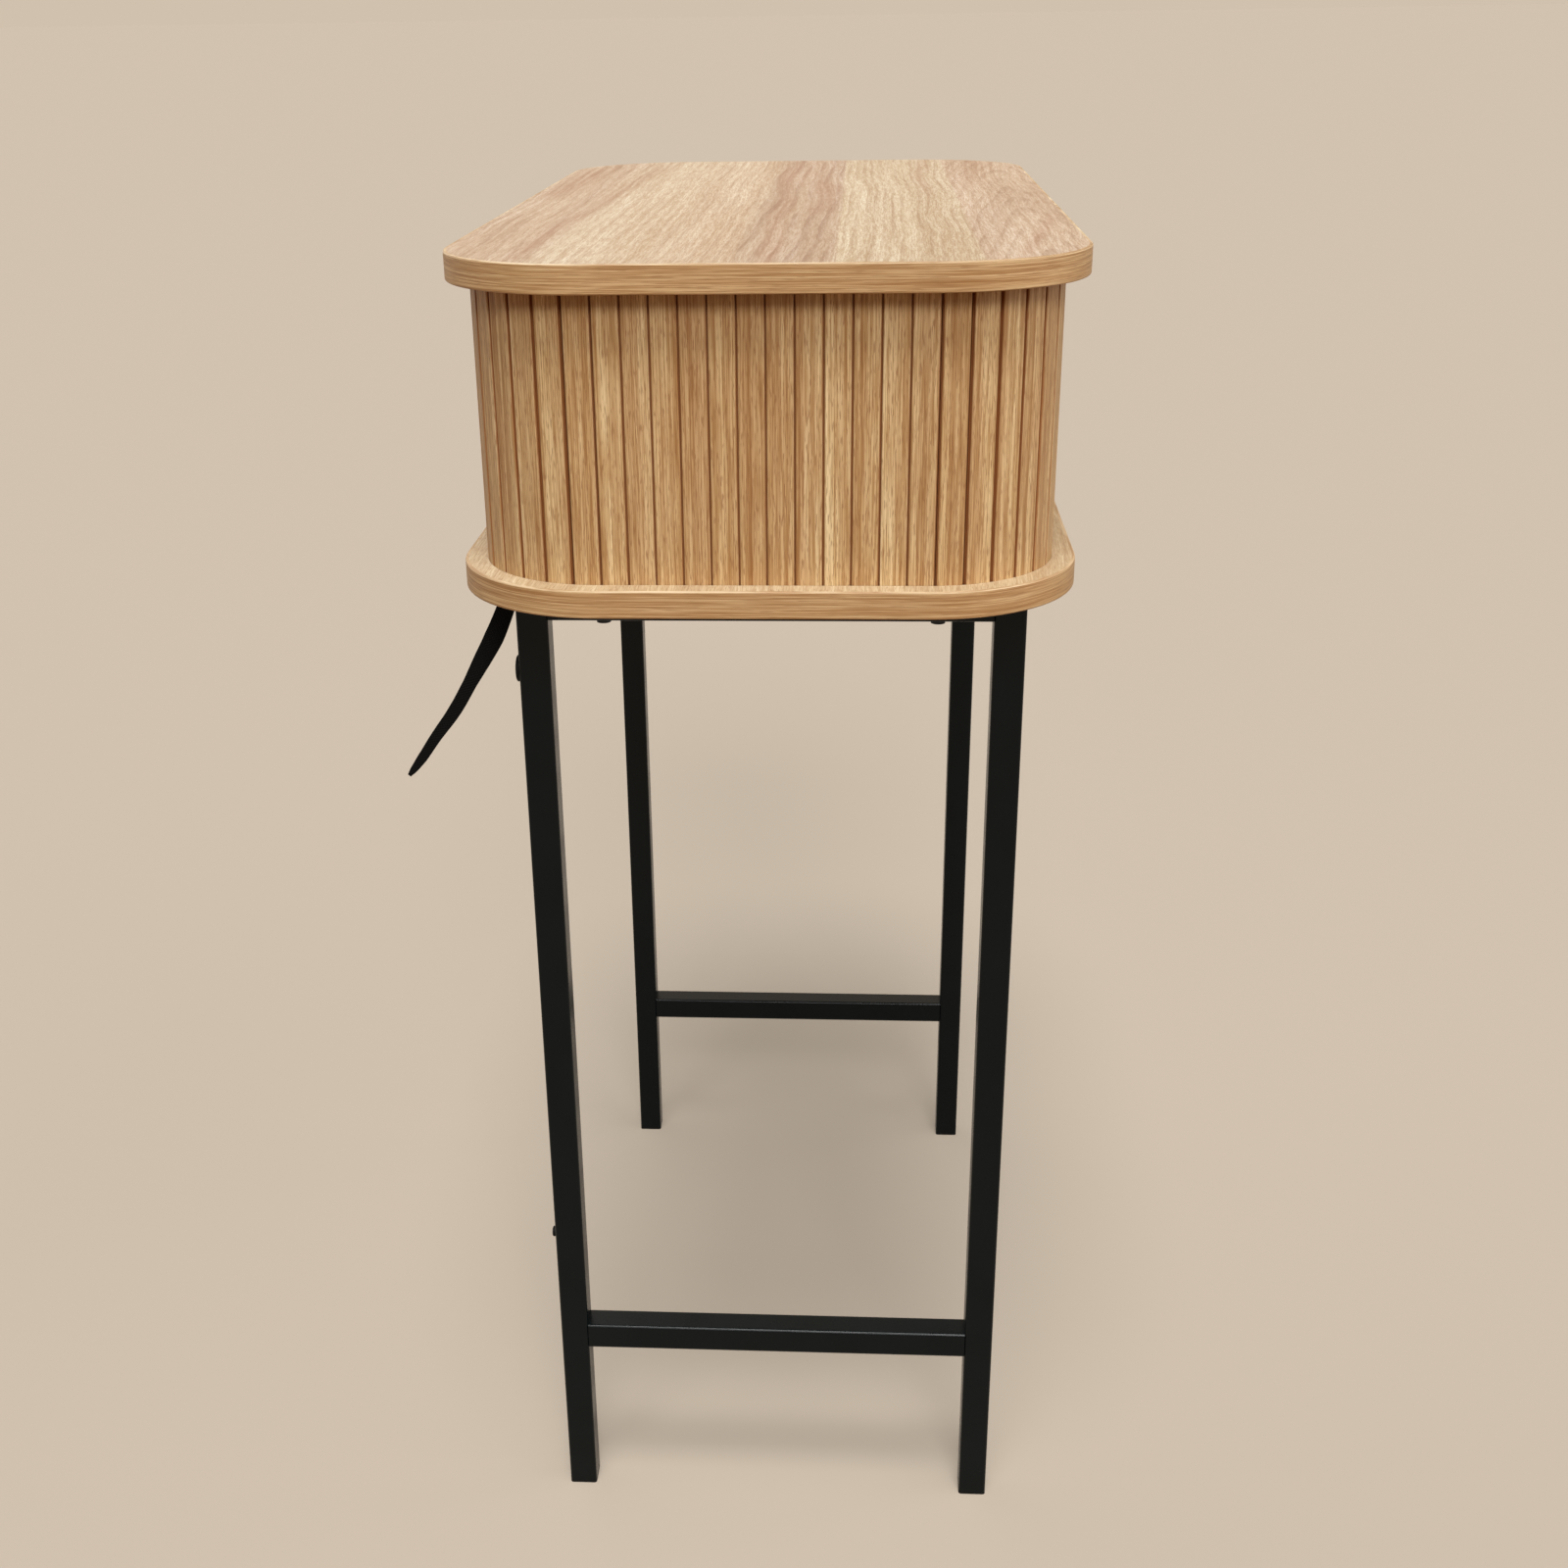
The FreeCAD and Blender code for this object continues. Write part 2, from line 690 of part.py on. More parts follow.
# the strap's two edges as (back, down) from the middle of its slot at the base, to the tip that they share
near_edge = (
    (-4.5, 1), (5.8, 30), (13.8, 50), (22.9, 65), (33.7, 81),
    (45.5, 101), (60.2, 119), (71.4, 135), (84.5, 146),
)
far_edge = (
    (4.8, 1), (18.3, 30), (28, 50), (36.6, 65), (44.3, 81),
    (55.8, 101), (69.6, 119), (79.6, 135), (84.5, 146),
)
strap_side = f"-{strap_x} - strap_thickness/2"
strap_origin = FreeCAD.Vector(number(strap_side), number(bracket_y), number(base_under))
strap_edges = []
for route in (near_edge, far_edge):
    edge = Part.BSplineCurve()
    edge.interpolate([strap_origin + FreeCAD.Vector(0, back, -down) for back, down in route])
    strap_edges.append(edge.toShape())
strap_edges.append(Part.LineSegment(*(edge.Vertexes[0].Point for edge in strap_edges)).toShape())
strap_face = Part.Face(Part.Wire(Part.__sortEdges__(strap_edges)))
strap = doc.addObject("Part::Feature", "wall_strap")
strap.Shape = strap_face.extrude(FreeCAD.Vector(number("strap_thickness"), 0, 0))
node("wall_strap", strap)

node("base_board", cut("base_board", base_blank, base_cutters))
node("top_board", cut("top_board", top_blank, top_cutters))

# lead rail: a pull that stands proud where the curtains meet, with tongues in both tracks
lead_body = doc.addObject("PartDesign::Body", "left_lead_blank")
lead_outline = new_sketch(lead_body, "lead_outline", "XY_Plane", f"{base_top} + lead_clearance")
polygon(
    lead_outline,
    (
        ("-meeting_gap/2", "-body_depth/2 - lead_proud"),
        ("-meeting_gap/2 - lead_flat", "-body_depth/2 - lead_proud"),
        (f"-{lead_start}", "-body_depth/2"),
        (f"-{lead_start}", "-body_depth/2 + lead_depth"),
        ("-meeting_gap/2", "-body_depth/2 + lead_depth"),
    ),
)
lead_pad = pad(lead_body, lead_outline, "curtain_height - 2*lead_clearance")
front = number("-body_depth/2 - lead_proud")
fillet(
    lead_body,
    lead_pad,
    "lead_round",
    lambda box: box.YLength < number("lead_round") / 2 and box.XLength < number("lead_round") / 2
    and abs(box.YMin - front) < number("lead_round") / 2,
)
tongue = new_sketch(lead_body, "lead_tongue", "XY_Plane", f"{base_top} - track_depth + tongue_gap")
polygon(
    tongue,
    (
        ("-meeting_gap/2", "-body_depth/2"),
        (f"-{lead_start}", "-body_depth/2"),
        (f"-{lead_start}", f"-{canvas_line}"),
        ("-meeting_gap/2", f"-{canvas_line}"),
    ),
)
slat_length = "curtain_height + 2*track_depth - 2*tongue_gap"
pad(lead_body, tongue, slat_length)
kerf = block(
    "lead_kerf",
    (f"-{lead_start} - overrun", f"-{canvas_line}", f"{base_top} - overrun"),
    (f"-{lead_start} + kerf_depth", f"-{canvas_line} + canvas_thickness", f"{top_under} + overrun"),
)
left_lead = node("left_lead_rail", cut("left_lead_rail", lead_body, [kerf]))
node("right_lead_rail", mirrored("right_lead_rail", left_lead))

# one slat, which is then set along the track
slat = doc.addObject("PartDesign::Body", "curtain_slat")
slat_section = new_sketch(slat, "slat_section", "XY_Plane")
rounded_loop(slat_section, "slat_width", "slat_thickness", "slat_round")
pad(slat, slat_section, slat_length)
doc.recompute()

# the left curtain's canvas line, measured from the middle of the front round to the back
half_front = number("body_length/2 - body_corner")
half_end = number("body_depth/2 - body_corner")
bend = number("body_corner - slat_thickness")
corner_run = bend * math.pi / 2
bends = [half_front, half_front + corner_run]
bends += [bends[1] + 2 * half_end, bends[1] + 2 * half_end + corner_run]


def track_point(run, inset=0):
    # a point on the line and how far the curtain has turned there
    radius = bend - inset
    if run <= bends[0]:
        return FreeCAD.Vector(-run, -half_end - radius, 0), 0
    if run <= bends[1]:
        turn = (run - bends[0]) / bend
        return (
            FreeCAD.Vector(-half_front - radius * math.sin(turn), -half_end - radius * math.cos(turn), 0),
            turn,
        )
    if run <= bends[2]:
        return FreeCAD.Vector(-half_front - radius, run - bends[1] - half_end, 0), math.pi / 2
    if run <= bends[3]:
        turn = (run - bends[2]) / bend
        return (
            FreeCAD.Vector(-half_front - radius * math.cos(turn), half_end + radius * math.sin(turn), 0),
            math.pi / 2 + turn,
        )
    return FreeCAD.Vector(run - bends[3] - half_front, half_end + radius, 0), math.pi


def slat_at(run):
    spot, turn = track_point(run, -number("slat_thickness") / 2)
    spot.z = number(f"{base_top} - track_depth + tongue_gap")
    shape = slat.Shape.copy()
    shape.Placement = FreeCAD.Placement(spot, FreeCAD.Rotation(FreeCAD.Vector(0, 0, 1), -math.degrees(turn)))
    return shape


def canvas(start, end):
    # a ribbon between two runs of the track, glued to the backs of the slats
    stops = [start] + [run for run in bends if start < run < end] + [end]
    edges = []
    for inset in (0, number("canvas_thickness")):
        for low, high in zip(stops, stops[1:]):
            spots = [track_point(run, inset)[0] for run in (low, (low + high) / 2, high)]
            bent = not math.isclose(track_point(low)[1], track_point(high)[1])
            edge = Part.Arc(*spots) if bent else Part.LineSegment(spots[0], spots[2])
            edges.append(edge.toShape())
    for run in (start, end):
        ends = [track_point(run, inset)[0] for inset in (0, number("canvas_thickness"))]
        edges.append(Part.LineSegment(*ends).toShape())
    face = Part.Face(Part.Wire(Part.__sortEdges__(edges)))
    face.translate(FreeCAD.Vector(0, 0, number(f"{base_top} + canvas_margin")))
    return face.extrude(FreeCAD.Vector(0, 0, number("curtain_height - 2*canvas_margin")))


pitch = number("slat_pitch")
first_run = number(lead_start)
door_count = int((bends[0] - first_run) / pitch)
slat_count = math.ceil((bends[3] + number("outer_back_inset + tail_lap") - first_run) / pitch)
door_end = first_run + door_count * pitch
runs = [first_run + (index + 0.5) * pitch for index in range(slat_count)]
curtain = {
    "door_slats": Part.makeCompound([slat_at(run) for run in runs[:door_count]]),
    "end_slats": Part.makeCompound([slat_at(run) for run in runs[door_count:]]),
    "door_canvas": canvas(first_run - number("kerf_depth"), door_end),
    "end_canvas": canvas(door_end, first_run + slat_count * pitch),
}
for piece, shape in curtain.items():
    left = doc.addObject("Part::Feature", "left_" + piece)
    left.Shape = shape
    node("left_" + piece, left)
    node("right_" + piece, mirrored("right_" + piece, left))

doc.recompute()
for thing in doc.Objects:
    if "Invalid" in thing.State or "Error" in thing.State:
        raise RuntimeError(f"{thing.Label} failed: {thing.State}")
for label, thing in nodes.items():
    if thing.Shape.isNull() or not thing.Shape.isValid():
        raise RuntimeError(f"{label} has no valid shape")

os.makedirs("parts", exist_ok=True)
for label, thing in nodes.items():
    thing.Shape.exportStep(f"parts/{label}.step")
print(len(nodes), "nodes,", door_count, "slats in each door,", slat_count, "in each curtain")
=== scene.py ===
import math

import bpy
import numpy as np
from mathutils import Matrix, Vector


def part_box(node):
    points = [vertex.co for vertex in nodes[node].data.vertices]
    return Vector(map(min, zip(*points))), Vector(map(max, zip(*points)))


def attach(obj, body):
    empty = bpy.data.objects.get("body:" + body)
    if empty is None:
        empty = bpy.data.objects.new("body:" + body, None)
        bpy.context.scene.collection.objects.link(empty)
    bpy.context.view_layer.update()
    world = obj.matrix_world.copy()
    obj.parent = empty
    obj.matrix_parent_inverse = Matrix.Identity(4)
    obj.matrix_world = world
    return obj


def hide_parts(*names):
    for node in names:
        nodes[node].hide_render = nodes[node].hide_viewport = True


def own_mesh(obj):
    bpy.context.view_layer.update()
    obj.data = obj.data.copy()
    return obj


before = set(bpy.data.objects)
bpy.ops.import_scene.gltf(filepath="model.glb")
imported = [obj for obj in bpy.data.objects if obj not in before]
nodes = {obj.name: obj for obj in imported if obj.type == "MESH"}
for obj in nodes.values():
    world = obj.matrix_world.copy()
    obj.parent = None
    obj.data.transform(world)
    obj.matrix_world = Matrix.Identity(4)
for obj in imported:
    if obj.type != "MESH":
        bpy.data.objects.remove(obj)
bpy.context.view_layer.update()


# colours are written as display values from 0 to 255; the standard display curve turns them to linear light
def display(red, green, blue):
    shown = np.array([red, green, blue]) / 255.0
    linear = np.where(shown <= 0.04045, shown / 12.92, ((shown + 0.055) / 1.055) ** 2.4)
    return (*linear.tolist(), 1.0)


white = display(255, 255, 255)


# node helpers: a socket is linked, anything else is set as the socket's value
def addNode(tree, kind, sockets=None, **settings):
    item = tree.nodes.new(kind)
    for key, value in settings.items():
        setattr(item, key, value)
    for key, value in (sockets or {}).items():
        if isinstance(value, bpy.types.NodeSocket):
            tree.links.new(value, item.inputs[key])
        else:
            item.inputs[key].default_value = value
    return item


def calc(tree, operation, *values):
    return addNode(tree, "ShaderNodeMath", dict(enumerate(values)), operation=operation).outputs[0]


def remap(tree, value, low, high, newLow=0.0, newHigh=1.0, curve="SMOOTHSTEP"):
    sockets = {"Value": value, "From Min": low, "From Max": high, "To Min": newLow, "To Max": newHigh}
    return addNode(tree, "ShaderNodeMapRange", sockets, interpolation_type=curve).outputs["Result"]


def mixColour(tree, factor, first, second, mode="MIX"):
    sockets = {0: factor, 6: first, 7: second}
    return addNode(tree, "ShaderNodeMix", sockets, data_type="RGBA", blend_type=mode).outputs[2]


def mixValue(tree, factor, first, second):
    return addNode(tree, "ShaderNodeMix", {0: factor, 2: first, 3: second}, data_type="FLOAT").outputs[0]


# a noise with its own number of waves per metre along, across and through the grain
def stretchedNoise(tree, place, waves, detail=2.0, seed=0.0):
    along, across, depth = place
    stretched = addNode(tree, "ShaderNodeCombineXYZ", {
        0: calc(tree, "MULTIPLY_ADD", along, waves[0], seed),
        1: calc(tree, "MULTIPLY", across, waves[1]),
        2: calc(tree, "MULTIPLY", depth, waves[2])}).outputs[0]
    noise = addNode(tree, "ShaderNodeTexNoise", {"Vector": stretched, "Scale": 1.0, "Detail": detail})
    return noise.outputs["Fac"]


def newGroup(name, inputs, outputs):
    tree = bpy.data.node_groups.new(name, "ShaderNodeTree")
    for label in inputs:
        tree.interface.new_socket(label, in_out="INPUT", socket_type="NodeSocketFloat")
    for label in outputs:
        tree.interface.new_socket(label, in_out="OUTPUT", socket_type="NodeSocketFloat")
    return tree, tree.nodes.new("NodeGroupInput").outputs, tree.nodes.new("NodeGroupOutput").inputs


def placeGroup(tree, group, sockets):
    return addNode(tree, "ShaderNodeGroup", sockets, node_tree=group).outputs


# a grain line wanders: across + wander * (slow + quickShare * quick), each noise less its mean
grainBend = {"slow": (4.0, 8.0, 8.0), "quick": (16.0, 45.0, 45.0), "quickShare": 0.1, "mean": 0.5}


def makeBendGroup():
    tree, given, out = newGroup("bentGrain", ["Along", "Across", "Depth", "Wander", "Seed"], ["Bent"])
    place = (given["Along"], given["Across"], given["Depth"])

    def sway(waves):
        noise = stretchedNoise(tree, place, waves, detail=1.0, seed=given["Seed"])
        return calc(tree, "SUBTRACT", noise, grainBend["mean"])

    slow, quick = sway(grainBend["slow"]), sway(grainBend["quick"])
    bend = calc(tree, "MULTIPLY_ADD", quick, grainBend["quickShare"], slow)
    tree.links.new(calc(tree, "MULTIPLY_ADD", bend, given["Wander"], given["Across"]), out["Bent"])
    return tree


# growth rings are cones round the pith: phase = (sqrt((bent - pith)^2 + height^2) + taper * along) / spacing;
# each ring darkens slowly, ends sharply, and fades in and out along its length; bands take in several rings
growthRing = {
    "darkens": (0.35, 0.90), "ends": (0.92, 1.0),  # shares of a ring
    "fadeWaves": (7.0, 90.0, 1.0), "fade": (0.36, 0.60), "faintest": 0.1,
    "bandWaves": (0.31, 1.0, 1.0), "band": (0.35, 0.65),  # waves per ring
}


def makeRingGroup():
    labels = ["Along", "Bent", "Pith", "Height", "Taper", "Spacing", "Seed"]
    tree, given, out = newGroup("growthRings", labels, ["Ring", "Bands"])
    side = calc(tree, "SUBTRACT", given["Bent"], given["Pith"])
    rise = calc(tree, "MULTIPLY", given["Height"], given["Height"])
    radius = calc(tree, "SQRT", calc(tree, "MULTIPLY_ADD", side, side, rise))
    cone = calc(tree, "MULTIPLY_ADD", given["Along"], given["Taper"], radius)
    phase = calc(tree, "ADD", calc(tree, "DIVIDE", cone, given["Spacing"]), given["Seed"])
    part = calc(tree, "FRACT", phase)
    darkens = remap(tree, part, *growthRing["darkens"])
    ring = calc(tree, "MULTIPLY", darkens, remap(tree, part, *growthRing["ends"], 1.0, 0.0))
    grain = (given["Along"], given["Bent"], 0.0)
    fade = stretchedNoise(tree, grain, growthRing["fadeWaves"], detail=1.0, seed=given["Seed"])
    fade = remap(tree, fade, *growthRing["fade"], growthRing["faintest"], 1.0)
    tree.links.new(calc(tree, "MULTIPLY", ring, fade), out["Ring"])
    bands = stretchedNoise(tree, (phase, given["Seed"], 0.0), growthRing["bandWaves"])
    tree.links.new(remap(tree, bands, *growthRing["band"]), out["Bands"])
    return tree


# fibres are noises drawn out along the grain: wide clouds, soft streaks, fine lines and short dark pores;
# range is the stretch of the noise that the mask takes up
fibreLayers = {
    "Clouds": {"waves": (1.6, 26.0, 26.0), "detail": 2.0, "range": (0.32, 0.68)},
    "Streaks": {"waves": (3.0, 280.0, 280.0), "detail": 3.0, "range": (0.3, 0.7)},
    "Lines": {"waves": (55.0, 1150.0, 1150.0), "detail": 3.0, "range": (0.34, 0.66)},
    "Pores": {"waves": (140.0, 1600.0, 1600.0), "detail": 1.0, "range": (0.54, 0.68)},
}


def fibreMask(tree, place, layer, seed):
    return remap(tree, stretchedNoise(tree, place, layer["waves"], layer["detail"], seed), *layer["range"])


def makeFibreGroup():
    tree, given, out = newGroup("woodFibres", ["Along", "Across", "Depth", "Seed"], list(fibreLayers))
    place = (given["Along"], given["Across"], given["Depth"])
    for label, layer in fibreLayers.items():
        tree.links.new(fibreMask(tree, place, layer, given["Seed"]), out[label])
    return tree


# a streak of darker wood: a soft line from one place across the grain to another, faded at both ends
streakFade = {"in": (0.0, 0.2), "out": (0.7, 1.0)}  # shares of its length


def makeStreakGroup():
    labels = ["Along", "Across", "Near", "Far", "Wide", "Start", "End"]
    tree, given, out = newGroup("grainStreak", labels, ["Mask"])
    length = calc(tree, "SUBTRACT", given["End"], given["Start"])
    run = calc(tree, "DIVIDE", calc(tree, "SUBTRACT", given["Along"], given["Start"]), length)
    drift = calc(tree, "SUBTRACT", given["Far"], given["Near"])
    middle = calc(tree, "MULTIPLY_ADD", run, drift, given["Near"])
    away = calc(tree, "ABSOLUTE", calc(tree, "SUBTRACT", given["Across"], middle))
    line = remap(tree, calc(tree, "DIVIDE", away, given["Wide"]), 0.0, 1.0, 1.0, 0.0)
    fadeIn = remap(tree, run, *streakFade["in"])
    fadeOut = remap(tree, run, *streakFade["out"], 1.0, 0.0)
    tree.links.new(calc(tree, "MULTIPLY", line, calc(tree, "MULTIPLY", fadeIn, fadeOut)), out["Mask"])
    return tree


# a fine even skin: small bumps for height and a slow cloud for mottle
skinNoise = {"bumpDetail": 2.0, "mottleWaves": 35.0, "mottleDetail": 3.0, "mottleRange": (0.3, 0.7)}


def makeSkinGroup():
    tree, given, out = newGroup("fineSkin", ["X", "Y", "Z", "Grain"], ["Bumps", "Mottle"])
    place = addNode(tree, "ShaderNodeCombineXYZ", {0: given["X"], 1: given["Y"], 2: given["Z"]}).outputs[0]
    bumps = addNode(tree, "ShaderNodeTexNoise", {
        "Vector": place, "Scale": given["Grain"], "Detail": skinNoise["bumpDetail"]})
    mottle = addNode(tree, "ShaderNodeTexNoise", {
        "Vector": place, "Scale": skinNoise["mottleWaves"], "Detail": skinNoise["mottleDetail"]})
    tree.links.new(bumps.outputs["Fac"], out["Bumps"])
    tree.links.new(remap(tree, mottle.outputs["Fac"], *skinNoise["mottleRange"]), out["Mottle"])
    return tree


# a weave is two sets of ridges that pass over each other in turn:
# height = 0.5 + 0.5 * sin(pi u / pitch) * sin(pi v / pitch); slubs shade single threads
threadSlub = {"waves": (60.0, 900.0, 1.0), "weftSeed": 7.0}


def makeWeaveGroup():
    tree, given, out = newGroup("threadWeave", ["U", "V", "Pitch"], ["Height", "Thread"])

    def ridges(label):
        turn = calc(tree, "MULTIPLY", calc(tree, "DIVIDE", given[label], given["Pitch"]), math.pi)
        return calc(tree, "SINE", turn)

    height = calc(tree, "MULTIPLY_ADD", calc(tree, "MULTIPLY", ridges("U"), ridges("V")), 0.5, 0.5)
    tree.links.new(height, out["Height"])
    warp = stretchedNoise(tree, (given["U"], given["V"], given["Pitch"]), threadSlub["waves"])
    weft = stretchedNoise(tree, (given["V"], given["U"], given["Pitch"]), threadSlub["waves"],
                          seed=threadSlub["weftSeed"])
    tree.links.new(mixValue(tree, height, warp, weft), out["Thread"])
    return tree


bendGroup = makeBendGroup()
ringGroup = makeRingGroup()
fibreGroup = makeFibreGroup()
streakGroup = makeStreakGroup()
skinGroup = makeSkinGroup()
weaveGroup = makeWeaveGroup()


# a material starts as one Principled shader with its plain numbers set on its own sockets
def newMaterial(name, plain):
    material = bpy.data.materials.new(name)
    material.use_nodes = True
    tree = material.node_tree
    shader = tree.nodes["Principled BSDF"]
    for socket, value in plain.items():
        shader.inputs[socket].default_value = value
    return material, tree, shader


# x, y and z of the Object coordinates, or u, v and an empty third of the UV map
def surfacePlace(tree, kind="Object"):
    place = addNode(tree, "ShaderNodeTexCoord").outputs[kind]
    return tuple(addNode(tree, "ShaderNodeSeparateXYZ", {0: place}).outputs)


def setBump(tree, shader, height, strength, distance):
    bump = addNode(tree, "ShaderNodeBump", {"Height": height, "Strength": strength, "Distance": distance})
    tree.links.new(bump.outputs[0], shader.inputs["Normal"])


def stopRamp(tree, factor, stops, interpolation):
    ramp = addNode(tree, "ShaderNodeValToRGB", {0: factor})
    ramp.color_ramp.interpolation = interpolation
    elements = ramp.color_ramp.elements
    while len(elements) < len(stops):
        elements.new(1.0)
    for element, (position, colour) in zip(elements, stops):
        element.position = position
        element.color = colour
    return ramp.outputs[0]


# what all the wood shares: how far each fibre layer darkens it, its pores, gloss and relief
woodShader = {"Specular IOR Level": 0.3}
woodLook = {
    "Clouds": display(243, 238, 232), "Streaks": display(236, 228, 220), "Lines": display(228, 215, 202),
    "pore": 0.42, "poreColour": display(140, 98, 64),
    "rough": 0.42, "roughSpread": 0.12, "relief": 0.12, "reliefDepth": 0.0002,
}


# lays clouds, streaks, lines and pores over a wood colour, and gives back the result
def woodSurface(tree, shader, colour, fibres, look):
    for layer in ("Clouds", "Streaks", "Lines"):
        tint = mixColour(tree, fibres[layer], look[layer], white)
        colour = mixColour(tree, 1.0, colour, tint, "MULTIPLY")
    pores = calc(tree, "MULTIPLY", fibres["Pores"], look["pore"])
    colour = mixColour(tree, pores, colour, look["poreColour"])
    tree.links.new(colour, shader.inputs["Base Color"])
    rough = calc(tree, "MULTIPLY_ADD", fibres["Lines"], look["roughSpread"], look["rough"])
    tree.links.new(rough, shader.inputs["Roughness"])
    relief = calc(tree, "MULTIPLY_ADD", fibres["Pores"], -1.0, fibres["Lines"])
    setBump(tree, shader, relief, look["relief"], look["reliefDepth"])
    return colour


# how far the growth rings darken the wood: so much for the bands and so much for each ring
def ringShade(tree, rings, figure):
    single = calc(tree, "MULTIPLY", rings["Ring"], figure["ring"])
    return calc(tree, "MULTIPLY_ADD", rings["Bands"], figure["bands"], single)


# planks of the top's veneer, from the front to the back: sizes in metres; edge is where a plank starts,
# and soft is half the blur of the joint there
planks = [
    {"edge": -0.1835, "pale": (208, 189, 168), "dark": (172, 146, 123),
     "pith": -0.160, "height": 0.010, "taper": 0.11, "spacing": 0.0085, "figure": 0.80, "wander": 0.018},
    {"edge": -0.1195, "soft": 0.0006, "pale": (217, 205, 180), "dark": (176, 150, 121),
     "pith": -0.26, "height": 0.010, "taper": 0.012, "spacing": 0.0060, "figure": 0.70, "wander": 0.022},
    {"edge": -0.0404, "soft": 0.0006, "pale": (205, 187, 166), "dark": (164, 136, 118),
     "pith": -0.10, "height": 0.010, "taper": 0.03, "spacing": 0.0095, "figure": 0.85, "wander": 0.020},
    {"edge": 0.014, "soft": 0.008, "pale": (215, 199, 176), "dark": (177, 151, 126),
     "pith": -0.08, "height": 0.010, "taper": 0.008, "spacing": 0.0072, "figure": 0.60, "wander": 0.014},
    {"edge": 0.060, "soft": 0.020, "pale": (218, 205, 182), "dark": (188, 165, 141),
     "pith": -0.05, "height": 0.010, "taper": 0.006, "spacing": 0.0068, "figure": 0.45, "wander": 0.010},
    {"edge": 0.125, "soft": 0.010, "pale": (209, 191, 170), "dark": (172, 145, 122),
     "pith": 0.26, "height": 0.010, "taper": 0.04, "spacing": 0.0110, "figure": 0.70, "wander": 0.016},
]
plankRange = {  # the numbers that 0 and 1 stand for in a ramp
    "pith": (-0.3, 0.3), "height": (0.0, 0.05), "taper": (0.0, 0.5),
    "spacing": (0.0, 0.02), "figure": (0.0, 1.0), "wander": (0.0, 0.05),
}
boardFigure = {"bands": 0.35, "ring": 0.6, "ringSeed": 3.7, "fibreSeed": 1.3, "streakGaps": -0.6}

# brown streaks of the veneer: where each starts and ends along x, and its y at those ends
streakBrown = display(174, 137, 112)
brownStreaks = [
    {"Start": -0.44, "End": 0.46, "Near": 0.138, "Far": 0.108, "Wide": 0.011, "strength": 0.50},
    {"Start": 0.00, "End": 0.34, "Near": 0.170, "Far": 0.160, "Wide": 0.022, "strength": 0.55},
    {"Start": -0.48, "End": 0.44, "Near": -0.003, "Far": 0.004, "Wide": 0.010, "strength": 0.75},
    {"Start": -0.14, "End": 0.18, "Near": -0.022, "Far": -0.030, "Wide": 0.016, "strength": 0.55},
    {"Start": 0.02, "End": 0.62, "Near": -0.012, "Far": -0.012, "Wide": 0.034, "strength": 0.40},
    {"Start": -0.42, "End": -0.06, "Near": -0.130, "Far": -0.182, "Wide": 0.008, "strength": 0.50},
    {"Start": -0.02, "End": 0.50, "Near": -0.097, "Far": -0.108, "Wide": 0.008, "strength": 0.40},
    {"Start": 0.02, "End": 0.50, "Near": -0.132, "Far": -0.150, "Wide": 0.022, "strength": 0.35},
]


# top veneer: each plank's own numbers come out of ramps across the board's depth
def makeBoardOak():
    material, tree, shader = newMaterial("boardOak", woodShader)
    along, across, depth = surfacePlace(tree)
    halfBoard = -planks[0]["edge"]
    span = remap(tree, across, -halfBoard, halfBoard, curve="LINEAR")

    def share(y):
        return min(max((y + halfBoard) / (2 * halfBoard), 0.0), 1.0)

    def level(plank, key):
        low, high = plankRange[key]
        return (plank[key] - low) / (high - low)

    def numberRamp(keys):
        stops = [(share(plank["edge"]), (*[level(plank, key) for key in keys], 1.0)) for plank in planks]
        split = addNode(tree, "ShaderNodeSeparateColor", {0: stopRamp(tree, span, stops, "CONSTANT")})
        return {key: remap(tree, split.outputs[place], 0.0, 1.0, *plankRange[key], curve="LINEAR")
                for place, key in enumerate(keys)}

    def colourRamp(key):
        stops = [(0.0, display(*planks[0][key]))]
        for before, plank in zip(planks, planks[1:]):
            stops.append((share(plank["edge"] - plank["soft"]), display(*before[key])))
            stops.append((share(plank["edge"] + plank["soft"]), display(*plank[key])))
        return stopRamp(tree, span, stops, "LINEAR")

    number = numberRamp(["pith", "height", "taper"]) | numberRamp(["spacing", "figure", "wander"])
    bent = placeGroup(tree, bendGroup, {
        "Along": along, "Across": across, "Depth": depth,
        "Wander": number["wander"], "Seed": boardFigure["ringSeed"]})["Bent"]
    rings = placeGroup(tree, ringGroup, {
        "Along": along, "Bent": bent, "Pith": number["pith"], "Height": number["height"],
        "Taper": number["taper"], "Spacing": number["spacing"], "Seed": boardFigure["ringSeed"]})
    fibres = placeGroup(tree, fibreGroup, {
        "Along": along, "Across": bent, "Depth": depth, "Seed": boardFigure["fibreSeed"]})
    shade = calc(tree, "MULTIPLY", ringShade(tree, rings, boardFigure), number["figure"])
    colour = mixColour(tree, shade, colourRamp("pale"), colourRamp("dark"))
    gaps = calc(tree, "MULTIPLY_ADD", fibres["Streaks"], boardFigure["streakGaps"], 1.0)
    for streak in brownStreaks:
        places = {key: value for key, value in streak.items() if key != "strength"}
        mask = placeGroup(tree, streakGroup, places | {"Along": along, "Across": bent})["Mask"]
        mask = calc(tree, "MULTIPLY", mask, gaps)
        colour = mixColour(tree, calc(tree, "MULTIPLY", mask, streak["strength"]), colour, streakBrown)
    woodSurface(tree, shader, colour, fibres, woodLook)
    return material


